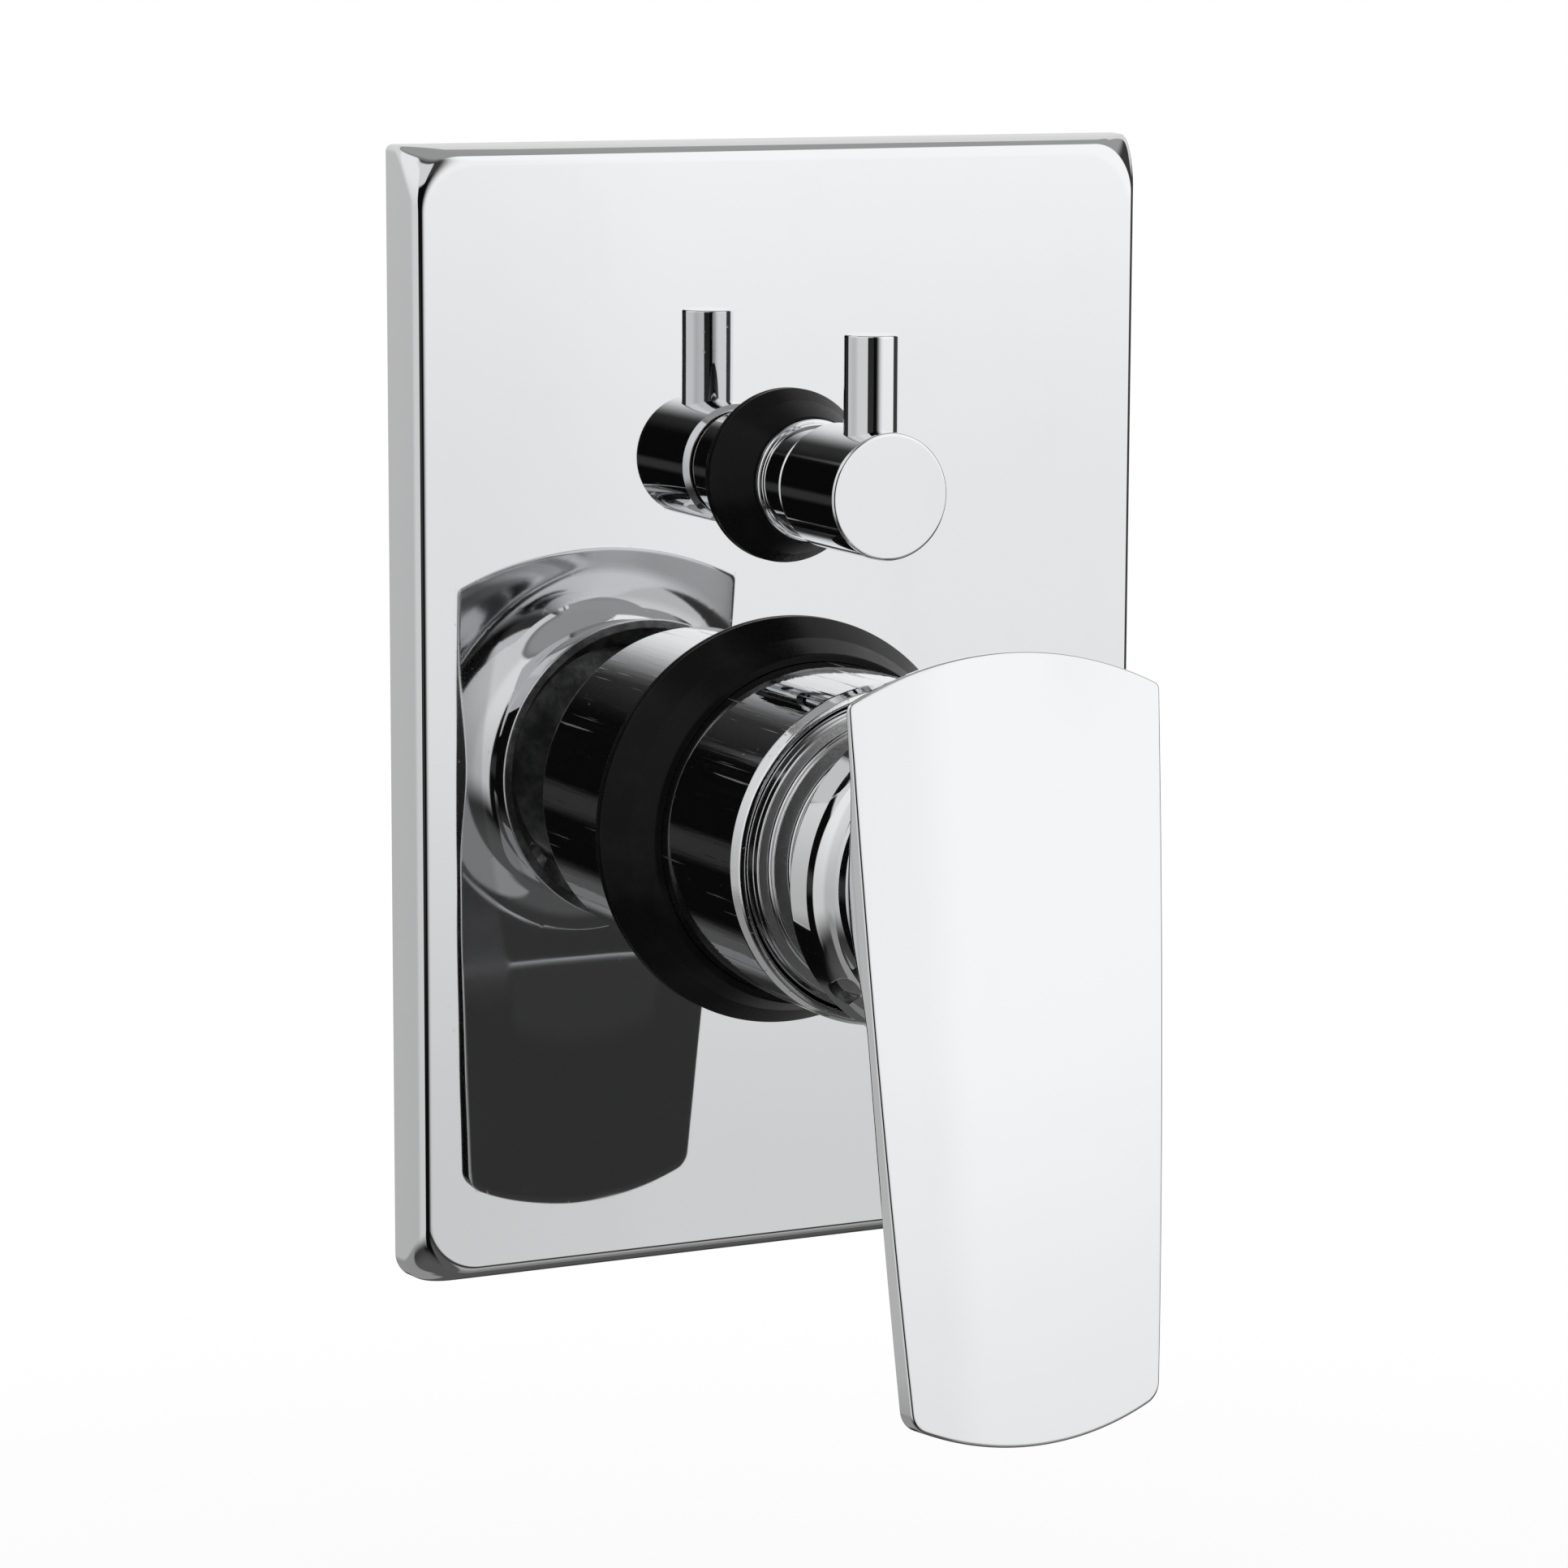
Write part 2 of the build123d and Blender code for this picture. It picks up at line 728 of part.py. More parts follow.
def cup_neck():
    """Concave arc from the cup's shoulder to its waist, where it stands upright."""
    drop = cup_shoulder_radius - cup_waist_radius
    waist_out = cup_level(cup_waist_share)
    rise = waist_out - cup_level(cup_shoulder_share)
    bend = (drop**2 + rise**2) / (2 * drop)
    half_turn = math.asin(rise / bend) / 2
    shoulder = (cup_shoulder_radius, waist_out - rise)
    middle_radius = cup_waist_radius + bend * (1 - math.cos(half_turn))
    middle = (middle_radius, waist_out - bend * math.sin(half_turn))
    return ThreePointArc(shoulder, middle, (cup_waist_radius, waist_out))


def cup_dome():
    """Outer form of the cup, from its rim up into the paddle."""
    rim_out = cup_level(0)
    shoulder = (cup_shoulder_radius, cup_level(cup_shoulder_share))
    waist = (cup_waist_radius, cup_level(cup_waist_share))
    outline = Polyline((0, rim_out), (cup_radius, rim_out), shoulder)
    outline += cup_neck()
    outline += Polyline(waist, (cup_waist_radius, lever_front), (0, lever_front), (0, rim_out))
    return revolve(make_face(Plane.XZ * outline), Axis.Z)


def cup_hollow():
    """Hollow of the cup round the socket boss."""
    hollow = turned(
        [
            (socket_boss_radius, cup_level(0)),
            (cup_radius - cup_wall, cup_level(0)),
            (cup_shoulder_radius - cup_wall, cup_level(cup_shoulder_share)),
            (cup_waist_radius - cup_wall, cup_level(cup_waist_share) - cup_wall),
            (cup_waist_radius - 2 * cup_wall, cup_level(cup_floor_share)),
            (socket_boss_radius, cup_level(cup_floor_share)),
        ]
    )
    floor_edges = hollow.faces().sort_by(Axis.Z)[-1].edges()
    return fillet(floor_edges, cup_wall)


def radial(piece, start):
    """Lay a piece drawn along z on the lever screw's line, from start outward."""
    turn = Rot(0, 0, lever_screw_angle) * Pos(start, 0, 0) * Rot(0, 90, 0)
    return Pos(0, 0, cup_level(cup_shoulder_share)) * turn * piece


def paddle_slab():
    """Wide wedge between the lever's front plane and its back, before it is cut to the outline."""
    front = paddle_plane()
    span = 2 * lever_front
    slope = (lever_bottom_thickness - lever_top_thickness) / (lever_top - lever_bottom)
    at_axis = lever_top_thickness + slope * lever_top
    slab = front * Pos(0, 0, -span / 4) * Box(span, span, span / 2)
    behind = Pos(0, 0, -span / 2) * Box(2 * span, 2 * span, span)
    back = Pos(0, 0, -at_axis) * Rot(math.degrees(math.atan(slope)), 0, 0)
    return slab - front * back * behind


def lever_handle():
    """One casting: the paddle, the cup that flows into its back, and the spindle's socket."""
    front = paddle_plane()
    span = 2 * lever_front
    dome = cup_dome() & (front * Pos(0, 0, -span / 2) * Box(span, span, span))
    form = paddle_slab() + dome
    root = [
        edge
        for edge in form.edges().filter_by(GeomType.ELLIPSE)
        if edge.bounding_box().max.X < cup_waist_radius + slide_clearance
        and edge.center().Z > cup_level(cup_waist_share)
        and edge.center().Z < lever_front
    ]
    form = fillet(root, cup_height * cup_blend_share)
    trim = front * extrude(paddle_outline(), -lever_front / 3)
    trim += rod(cup_radius + cup_height, cup_level(0) - cup_height, cup_level(cup_waist_share))
    form &= trim
    crown = Cylinder(lever_crown_radius, 2 * span, rotation=(90, 0, 0))
    form &= front * Pos(0, 0, -lever_crown_radius) * crown
    form = fillet(lever_rims(form), lever_edge_round)
    form -= cup_hollow()
    boss_back = bonnet_crown + socket_boss_gap
    form += rod(socket_boss_radius, boss_back, cup_level(cup_floor_share))
    socket = square_side + 2 * socket_clearance
    depth = square_front + slide_clearance - boss_back
    square = Box(socket, socket, depth, align=(Align.CENTER, Align.CENTER, Align.MIN))
    form -= Pos(0, 0, boss_back) * square
    screw_start = square_side / 2
    screw_hole = rod(lever_screw_radius + seal_clearance, 0, cup_radius + cup_wall - screw_start)
    form -= radial(screw_hole, screw_start)
    return on_mixer(form)


def lever_rims(form):
    """The edges round the paddle's front face."""
    normal = paddle_plane().z_dir
    faces = form.faces().sort_by(Axis((0, 0, 0), normal))
    return faces[-1].edges()


def grub_screw(radius, length):
    """Headless screw along z with a hexagonal socket in its outer end."""
    screw = rod(radius, 0, length)
    screw = chamfer(screw.edges().filter_by(GeomType.CIRCLE), screw_chamfer)
    key_flats = screw_key_flats * radius / lever_screw_radius
    return screw - prism(key_flats, length - screw_key_depth, length)


def lever_grub_screw():
    inner = square_side / 2 / math.cos(math.radians(lever_screw_angle - 180))
    screw = grub_screw(lever_screw_radius, lever_screw_length)
    return on_mixer(radial(screw, inner))


def diverter_collar():
    """Chrome tube with a bead above the seal."""
    tube_solid = tube(collar_radius, collar_radius - collar_wall, collar_back, collar_front)
    bead_low = collar_bead_at - collar_bead_width / 2
    bead = tube(collar_bead_radius, collar_radius - collar_wall, bead_low, bead_low + collar_bead_width)
    bead_edges = bead.edges().filter_by(GeomType.CIRCLE)
    bead_rims = [rim for rim in bead_edges if rim.radius > collar_radius + seal_clearance]
    collar = tube_solid + fillet(bead_rims, collar_bead_round)
    front_edges = collar.faces().sort_by(Axis.Z)[-1].edges()
    outer_rim = [rim for rim in front_edges if rim.radius > collar_radius - collar_wall / 2]
    return on_diverter(fillet(outer_rim, collar_round))


def collar_groove_floor():
    return headwork_neck_radius - collar_ring_groove


def collar_o_ring():
    """Grips the collar on the headwork's neck."""
    pitch = collar_groove_floor() + face_gap / 2 + collar_ring_cord
    return on_diverter(torus(pitch, collar_ring_cord, collar_ring_at))


def diverter_headwork():
    """Brass headwork screwed in the casting: it holds the discs and guides the spindle."""
    work = rod(headwork_thread_radius, headwork_foot, headwork_shoulder)
    hex_top = headwork_shoulder + headwork_hex_height
    work += prism(headwork_hex_flats, headwork_shoulder, hex_top)
    work += rod(headwork_neck_radius, hex_top, headwork_neck_front)
    chamber = headwork_thread_radius - headwork_wall
    work -= rod(chamber, headwork_foot, spindle_foot_front() + face_gap)
    work -= rod(spindle_radius + running_clearance, spindle_foot_front(), headwork_neck_front)
    groove = 2 * collar_ring_cord + seal_clearance
    ring = tube(headwork_neck_radius + collar_wall, collar_groove_floor(), 0, groove)
    return on_diverter(work - Pos(0, 0, collar_ring_at - groove / 2) * ring)


def diverter_disc_plane():
    return headwork_foot + diverter_seat_seal_thickness


def spindle_foot_front():
    return diverter_disc_plane() + 2 * diverter_disc_thickness + face_gap + spindle_foot_thickness


def diverter_ports(low, high):
    """The feed in the middle and an outlet on either side of it."""
    holes = [rod(diverter_feed_radius, low, high)]
    for side in (-1, 1):
        holes.append(Pos(side * diverter_port_pitch, 0, 0) * rod(diverter_port_radius, low, high))
    return holes


def diverter_seat_seal():
    seal = rod(diverter_disc_radius, headwork_foot, diverter_disc_plane())
    for hole in diverter_ports(headwork_foot, diverter_disc_plane()):
        seal -= hole
    return on_diverter(seal)


def diverter_fixed_disc():
    low = diverter_disc_plane()
    high = low + diverter_disc_thickness
    disc = rod(diverter_disc_radius, low, high)
    for hole in diverter_ports(low, high):
        disc -= hole
    return on_diverter(disc)


def diverter_moving_disc():
    """Turning disc whose blind pocket joins the feed to the outlet it points at, up at rest."""
    low = diverter_disc_plane() + diverter_disc_thickness + face_gap
    disc = rod(diverter_disc_radius, low, low + diverter_disc_thickness)
    slot = SlotCenterToCenter(diverter_port_pitch, 2 * diverter_port_radius, rotation=90)
    pocket = Pos(0, diverter_port_pitch / 2, low) * extrude(slot, diverter_pocket_depth)
    return on_diverter(disc - pocket)


def diverter_spindle():
    """Brass spindle: a foot on the disc, a grooved shaft and a flatted end for the knob."""
    foot_low = spindle_foot_front() - spindle_foot_thickness
    spindle = rod(diverter_disc_radius, foot_low, spindle_foot_front())
    spindle += rod(spindle_radius, spindle_foot_front(), circlip_foot() + circlip_thickness + face_gap)
    spindle += rod(spindle_drive_radius, circlip_foot(), spindle_end())
    flat = Box(
        2 * spindle_radius,
        spindle_radius,
        spindle_end() - knob_back(),
        align=(Align.CENTER, Align.MAX, Align.MIN),
    )
    spindle -= Pos(0, -spindle_flat, knob_back()) * flat
    groove_low = spindle_groove_at - spindle_groove_width / 2
    groove_high = groove_low + spindle_groove_width
    spindle -= tube(spindle_radius + face_gap, spindle_groove_floor(), groove_low, groove_high)
    clip_room = tube(
        spindle_radius + face_gap,
        spindle_radius - circlip_bite,
        circlip_foot(),
        circlip_foot() + circlip_thickness,
    )
    return on_diverter(spindle - clip_room)


def spindle_groove_floor():
    return spindle_radius + running_clearance - 2 * spindle_o_ring_cord - face_gap


def diverter_spindle_o_ring():
    pitch = spindle_groove_floor() + face_gap / 2 + spindle_o_ring_cord
    return on_diverter(torus(pitch, spindle_o_ring_cord, spindle_groove_at))


def circlip_foot():
    return headwork_neck_front + face_gap


def diverter_circlip():
    """Open spring clip that keeps the spindle in the headwork."""
    low = circlip_foot() + face_gap / 2
    high = low + circlip_thickness - face_gap
    clip = tube(circlip_radius, spindle_radius - circlip_bite + face_gap, low, high)
    half = circlip_radius * math.tan(math.radians(circlip_gap_deg / 2))
    wedge = Polyline((0, 0), (circlip_radius, -half), (circlip_radius, half), close=True)
    return on_diverter(clip - extrude(make_face(wedge), high))


def knob_back():
    return collar_front + knob_gap


def knob_front():
    return knob_back() + knob_length


def spindle_end():
    return knob_back() + spindle_drive_depth


def pin_out():
    return knob_front() - pin_from_front


def diverter_knob():
    """Chrome barrel with a bore for the spindle, a seat for the pin and a tapped screw hole."""
    knob = rod(knob_radius, knob_back(), knob_front())
    front_edges = knob.faces().sort_by(Axis.Z)[-1].edges()
    knob = fillet(front_edges, knob_front_round)
    rear_edges = knob.faces().sort_by(Axis.Z)[0].edges()
    knob = chamfer(rear_edges, knob_rear_chamfer)
    bore = spindle_drive_radius + socket_clearance
    knob -= rod(bore, knob_back(), spindle_end() + slide_clearance)
    knob -= upright(pin_radius + face_gap / 2, pin_seat, pin_reach, pin_out())
    knob -= upright(pin_stub_radius + face_gap / 2, bore, pin_seat, pin_out())
    screw_out = knob_back() + knob_screw_from_back
    knob -= upright(knob_screw_radius + face_gap / 2, -knob_radius, -spindle_flat, screw_out)
    return on_diverter(knob)


def diverter_pin():
    """Chrome pin seated in the top of the knob, with a threaded stub below it."""
    pin = upright(pin_radius, pin_seat, pin_reach, pin_out())
    top_edges = pin.faces().sort_by(Axis.Y)[-1].edges()
    pin = chamfer(top_edges, pin_edge)
    stub_low = spindle_drive_radius + socket_clearance + slide_clearance
    pin += upright(pin_stub_radius, stub_low, pin_seat, pin_out())
    return on_diverter(pin)


def knob_grub_screw():
    """Headless screw from below on to the spindle's flat."""
    tip = spindle_flat + seal_clearance
    out = knob_back() + knob_screw_from_back
    screw = Pos(0, -tip, out) * Rot(90, 0, 0) * grub_screw(knob_screw_radius, knob_screw_length)
    return on_diverter(screw)


PIECES = {
    "wall_plate": wall_plate,
    "wall_gasket": wall_gasket,
    "mixer_seal_ring": mixer_seal_ring,
    "diverter_seal_ring": diverter_seal_ring,
    "mixer_sleeve": mixer_sleeve,
    "sleeve_o_ring": sleeve_o_ring,
    "bonnet_ring": bonnet_ring,
    "cartridge_nut": cartridge_nut,
    "valve_body": valve_body,
    "cartridge_base": cartridge_base,
    "cartridge_seals": cartridge_seals,
    "cartridge_housing": cartridge_housing,
    "fixed_disc": fixed_disc,
    "moving_disc": moving_disc,
    "disc_carrier": disc_carrier,
    "spindle_guide": spindle_guide,
    "pivot_pin": pivot_pin,
    "lever_spindle": lever_spindle,
    "lever_handle": lever_handle,
    "lever_grub_screw": lever_grub_screw,
    "diverter_collar": diverter_collar,
    "collar_o_ring": collar_o_ring,
    "diverter_headwork": diverter_headwork,
    "diverter_seat_seal": diverter_seat_seal,
    "diverter_fixed_disc": diverter_fixed_disc,
    "diverter_moving_disc": diverter_moving_disc,
    "diverter_spindle": diverter_spindle,
    "diverter_spindle_o_ring": diverter_spindle_o_ring,
    "diverter_circlip": diverter_circlip,
    "diverter_knob": diverter_knob,
    "diverter_pin": diverter_pin,
    "knob_grub_screw": knob_grub_screw,
}


def main():
    os.makedirs("parts", exist_ok=True)
    for name, make in PIECES.items():
        made = make()
        pieces = made if isinstance(made, list) else [made]
        solids = []
        for piece in pieces:
            solids += hang(piece).solids()
        shape = solids[0] if len(solids) == 1 else Compound(children=solids)
        export_step(shape, os.path.join("parts", name + ".step"))
        print(name, len(solids), round(sum(solid.volume for solid in solids), 1))


main()
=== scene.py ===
import math

import bmesh
import bpy
from mathutils import Matrix, Vector


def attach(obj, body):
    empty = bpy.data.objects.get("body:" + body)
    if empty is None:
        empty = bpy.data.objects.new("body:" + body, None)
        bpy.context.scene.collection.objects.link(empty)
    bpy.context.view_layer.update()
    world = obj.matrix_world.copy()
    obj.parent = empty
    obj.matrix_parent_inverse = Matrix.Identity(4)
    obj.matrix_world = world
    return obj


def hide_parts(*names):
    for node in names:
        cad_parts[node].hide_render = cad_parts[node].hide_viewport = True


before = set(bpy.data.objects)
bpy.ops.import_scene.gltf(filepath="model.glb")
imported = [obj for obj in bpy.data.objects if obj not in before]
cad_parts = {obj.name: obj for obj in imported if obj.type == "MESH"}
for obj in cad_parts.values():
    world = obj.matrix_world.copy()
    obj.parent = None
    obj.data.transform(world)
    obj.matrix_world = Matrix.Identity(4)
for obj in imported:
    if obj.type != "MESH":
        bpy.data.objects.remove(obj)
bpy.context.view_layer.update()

bl_info = {
    "name": "Concealed Mixer with Diverter",
    "version": (1, 0, 0),
    "blender": (4, 5, 0),
    "location": "View3D > Sidebar > Mixer",
    "description": "Dresses the packed mixer with its chrome, rubber and brass, and sets it in a studio",
    "category": "Object",
}

# Pieces are drawn in millimetres looking at the wall: x to the right, y up and z out of the wall.
# HANG turns that drawing, in metres, to the frame with z up and the wall towards +y.
MM = 0.001
HANG = Matrix.Rotation(math.radians(90), 4, "X") @ Matrix.Scale(MM, 4)
MIXER_Y = -21.0
DIVERTER_Y = 41.0

# Half inch ports of the brass body: their axes behind the wall and the pitch of their threads
INLET_DEPTH = 24.0
OUTLET_DEPTH = 30.0
THREAD_PITCH = 1.814

# The grub screw's hole in the lever's cup: its direction round the cup and its height off the wall
SCREW_HEADING = math.radians(219)
SCREW_OUT = 74.96


class PlateSizes(bpy.types.PropertyGroup):
    """Wall plate and the two rubber seals on it"""

    width: bpy.props.FloatProperty(name="Width", description="Plate width, mm", default=144.0, min=60)
    height: bpy.props.FloatProperty(name="Height", description="Plate height, mm", default=200.0, min=80)
    depth: bpy.props.FloatProperty(name="Depth", description="How far the face stands out, mm", default=9.7)
    wall: bpy.props.FloatProperty(name="Wall", description="Thickness of the metal, mm", default=1.6)
    draft: bpy.props.FloatProperty(name="Draft", description="How far the sides lean in, mm", default=0.4)
    back_corner: bpy.props.FloatProperty(name="Back Corner", description="Corner at the wall, mm", default=1.2)
    front_corner: bpy.props.FloatProperty(name="Front Corner", description="Corner in front, mm", default=9.0)
    front_round: bpy.props.FloatProperty(name="Front Round", description="Round of the rim, mm", default=2.4)
    seal_spigot: bpy.props.FloatProperty(name="Seal Spigot", description="Rubber in the holes, mm", default=1.6)


class BarrelSizes(bpy.types.PropertyGroup):
    """Sleeve, collar, bonnet, knob and pin"""

    sleeve_radius: bpy.props.FloatProperty(name="Sleeve Radius", description="Outside, mm", default=30.0)
    sleeve_front: bpy.props.FloatProperty(name="Sleeve Front", description="From the wall, mm", default=51.5)
    sleeve_back: bpy.props.FloatProperty(name="Sleeve Back", description="From the wall, mm", default=-9.6)
    collar_radius: bpy.props.FloatProperty(name="Collar Radius", description="Outside, mm", default=10.1)
    collar_front: bpy.props.FloatProperty(name="Collar Front", description="From the wall, mm", default=27.4)
    knob_radius: bpy.props.FloatProperty(name="Knob Radius", description="Outside, mm", default=11.0)
    knob_back: bpy.props.FloatProperty(name="Knob Back", description="From the wall, mm", default=28.6)
    knob_front: bpy.props.FloatProperty(name="Knob Front", description="From the wall, mm", default=49.7)
    pin_radius: bpy.props.FloatProperty(name="Pin Radius", description="Outside, mm", default=4.7)
    pin_reach: bpy.props.FloatProperty(name="Pin Reach", description="Above the knob's axis, mm", default=27.25)


class LeverSizes(bpy.types.PropertyGroup):
    """Lever handle: the paddle and the cup that flows into it"""

    front: bpy.props.FloatProperty(name="Front", description="Face from the wall on the axis, mm", default=96.0)
    lean: bpy.props.FloatProperty(name="Lean", description="Lean of the face, degrees", default=6.3)
    top: bpy.props.FloatProperty(name="Top", description="Above the axis, mm", default=40.8)
    bottom: bpy.props.FloatProperty(name="Bottom", description="Below the axis, mm", default=-91.0)
    crown: bpy.props.FloatProperty(name="Crown", description="Radius across the face, mm", default=450.0)
    top_thickness: bpy.props.FloatProperty(name="Top Thickness", description="mm", default=1.7)
    bottom_thickness: bpy.props.FloatProperty(name="Bottom Thickness", description="mm", default=5.0)
    edge_round: bpy.props.FloatProperty(name="Edge Round", description="Round of the front edge, mm", default=0.5)
    cup_height: bpy.props.FloatProperty(name="Cup Height", description="Rim to face, mm", default=26.3)
    cup_radius: bpy.props.FloatProperty(name="Cup Radius", description="At the rim, mm", default=29.0)


class MixerColours(bpy.types.PropertyGroup):
    """Colours of the finishes"""

    chrome: bpy.props.FloatVectorProperty(
        name="Chrome", description="Plated metal", subtype="COLOR", default=(0.84, 0.845, 0.855), min=0, max=1
    )
    rubber: bpy.props.FloatVectorProperty(
        name="Rubber", description="Seals", subtype="COLOR", default=(0.004, 0.004, 0.0042), min=0, max=1
    )
    brass: bpy.props.FloatVectorProperty(
        name="Brass", description="Cast and machined", subtype="COLOR", default=(0.72, 0.52, 0.27), min=0, max=1
    )
    steel: bpy.props.FloatVectorProperty(
        name="Steel", description="Spindles and screws", subtype="COLOR", default=(0.56, 0.56, 0.57), min=0, max=1
    )
    floor: bpy.props.FloatVectorProperty(
        name="Floor", description="Floor of the studio", subtype="COLOR", default=(0.8, 0.8, 0.8), min=0, max=1
    )


class Wire:
    """A value on a node's socket, so that shader maths reads as Python."""

    def __init__(self, paint, socket):
        self.paint = paint
        self.socket = socket

    def maths(self, operation, *values, clamp=False):
        settings = {"operation": operation, "use_clamp": clamp}
        return self.paint.node("ShaderNodeMath", settings, dict(enumerate(values)))

    def __add__(self, other):
        return self.maths("ADD", self, other)

    __radd__ = __add__

    def __sub__(self, other):
        return self.maths("SUBTRACT", self, other)

    def __rsub__(self, other):
        return self.maths("SUBTRACT", other, self)

    def __mul__(self, other):
        return self.maths("MULTIPLY", self, other)

    __rmul__ = __mul__

    def __truediv__(self, other):
        return self.maths("DIVIDE", self, other)

    def __pow__(self, other):
        return self.maths("POWER", self, other)

    def __abs__(self):
        return self.maths("ABSOLUTE", self)

    def above(self, low, high):
        """0 below low, 1 above high and smooth between them."""
        settings = {"interpolation_type": "SMOOTHSTEP"}
        return self.paint.node(
            "ShaderNodeMapRange", settings, {"Value": self, "From Min": low, "From Max": high}
        )

    def below(self, low, high):
        return 1 - self.above(low, high)

    def between(self, low, high, edge):
        """1 from low to high, fading over edge outside them."""
        return self.above(low - edge, low) * self.below(high, high + edge)

    def root(self):
        return self.maths("SQRT", self)

    def saw(self, pitch):
        """Triangle wave with this pitch, from 0 to 1."""
        return self.maths("PINGPONG", self, pitch / 2) * (2 / pitch)

    def clamped(self):
        return self.maths("ADD", self, 0, clamp=True)


class Paint:
    """A node tree for a material or the world, and the one way its nodes are made."""

    def __init__(self, holder):
        holder.use_nodes = True
        self.tree = holder.node_tree
        self.tree.nodes.clear()

    def node(self, kind, settings, inputs, output=0):
        made = self.tree.nodes.new(kind)
        for name, setting in settings.items():
            if name == "stops":
                ramp = made.color_ramp
                while len(ramp.elements) < len(setting):
                    ramp.elements.new(0.5)
                for element, (place, colour) in zip(ramp.elements, setting):
                    element.position = place
                    element.color = (*colour, 1)
            else:
                setattr(made, name, setting)
        for name, value in inputs.items():
            socket = made.inputs[name]
            if isinstance(value, Wire):
                self.tree.links.new(value.socket, socket)
            elif hasattr(value, "__len__") and socket.type == "RGBA":
                socket.default_value = (*value, 1)
            else:
                socket.default_value = value
        return Wire(self, made.outputs[output]) if made.outputs else None

    def place(self):
        """Where the point lies on the piece, in metres."""
        return self.node("ShaderNodeTexCoord", {}, {}, "Object")

    def axes(self, vector):
        return [self.node("ShaderNodeSeparateXYZ", {}, {0: vector}, name) for name in ("X", "Y", "Z")]

    def noise(self, scale, detail=3.0, roughness=0.5, vector=None, output=0):
        inputs = {"Scale": scale, "Detail": detail, "Roughness": roughness}
        inputs["Vector"] = vector or self.place()
        return self.node("ShaderNodeTexNoise", {}, inputs, output)

    def stretched(self, scale):
        """Object coordinates stretched by a factor per axis."""
        return self.node("ShaderNodeMapping", {}, {"Vector": self.place(), "Scale": scale})

    def mixed(self, factor, first, second):
        """Blend of two colours. The node keeps its colour sockets at 6, 7 and, for the result, 2."""
        return self.node("ShaderNodeMix", {"data_type": "RGBA"}, {0: factor, 6: first, 7: second}, 2)

    def angle(self, opposite, adjacent):
        """Angle in radians of a direction given by two lengths."""
        return self.node("ShaderNodeMath", {"operation": "ARCTAN2"}, {0: opposite, 1: adjacent})

    def bump(self, height, distance, strength=1.0):
        inputs = {"Height": height, "Distance": distance, "Strength": strength}
        return self.node("ShaderNodeBump", {}, inputs)

    def surface(self, inputs):
        shader = self.node("ShaderNodeBsdfPrincipled", {}, inputs)
        self.node("ShaderNodeOutputMaterial", {}, {"Surface": shader})


def new_material(name):
    material = bpy.data.materials.new("finish_" + name)
    return material, Paint(material)


def finish(name):
    return bpy.data.materials["finish_" + name]


def shade(colour, factor):
    return tuple(min(1.0, part * factor) for part in colour)


def colours():
    return bpy.context.scene.mixer_colours


def polished_chrome():
    """Bright plating with faint wiping streaks and the slight waviness of a polished casting."""
    material, paint = new_material("polished_chrome")
    chrome = tuple(colours().chrome)
    cloud = paint.noise(38.0, 4.0, 0.55)
    wipe = paint.noise(9.0, 3.0, 0.6, paint.stretched((6.0, 6.0, 0.7)))
    speck = paint.noise(900.0, 2.0, 0.5).above(0.68, 0.76)
    smear = cloud.above(0.45, 0.8) * wipe.above(0.42, 0.7)
    base = paint.mixed(smear * 0.5 + speck * 0.12, chrome, shade(chrome, 0.95))
    rough = 0.016 + smear * 0.025 + speck * 0.05
    wave = paint.noise(55.0, 1.0, 0.4)
    paint.surface(
        {
            "Base Color": base,
            "Metallic": 1.0,
            "Roughness": rough,
            "Normal": paint.bump(wave, 0.00002, 0.5),
        }
    )
    return material


def drawn_chrome():
    """Plated tube: fine streaks run along it where it was drawn and polished."""
    material, paint = new_material("drawn_chrome")
    chrome = tuple(colours().chrome)
    streak = paint.noise(420.0, 4.0, 0.6, paint.stretched((1.0, 0.035, 1.0)))
    broad = paint.noise(110.0, 2.0, 0.5, paint.stretched((1.0, 0.08, 1.0)))
    scratch = paint.noise(1500.0, 2.0, 0.5, paint.stretched((1.0, 0.02, 1.0))).above(0.66, 0.74)
    speck = paint.noise(900.0, 2.0, 0.5).above(0.7, 0.78)
    base = paint.mixed(scratch * 0.4 + speck * 0.3, chrome, shade(chrome, 0.8))
    paint.surface(
        {
            "Base Color": base,
            "Metallic": 1.0,
            "Roughness": 0.02 + streak.above(0.5, 0.75) * 0.06 + scratch * 0.3 + speck * 0.2,
            "Normal": paint.bump(streak * 0.5 + broad + scratch * 0.3, 0.0001, 0.7),
        }
    )
    return material


def axis_radius(paint, x_axis, z_axis):
    """Distance from a line along y, in millimetres."""
    x, _, z = paint.axes(paint.place())
    across = x * 1000 - x_axis
    up = z * 1000 - z_axis
    return (across * across + up * up).root()


def banded_chrome():
    """Bonnet: blasted bands between polished ridges."""
    material, paint = new_material("banded_chrome")
    chrome = tuple(colours().chrome)
    radius = axis_radius(paint, 0.0, MIXER_Y)
    inner = radius.between(14.6, 21.0, 0.15)
    middle = radius.between(21.9, 24.1, 0.12)
    outer = radius.between(24.8, 26.1, 0.12)
    blasted = (inner + middle + outer).clamped()
    grit = paint.noise(1500.0, 4.0, 0.75)
    blotch = paint.noise(260.0, 3.0, 0.6)
    base = paint.mixed(blasted * (0.4 + blotch * 0.5), chrome, shade(chrome, 0.66))
    rough = 0.05 + blasted * (0.26 + grit * 0.2)
    paint.surface(
        {
            "Base Color": base,
            "Metallic": 1.0,
            "Roughness": rough,
            "Normal": paint.bump(grit * blasted, 0.00012, 0.8),
        }
    )
    return material


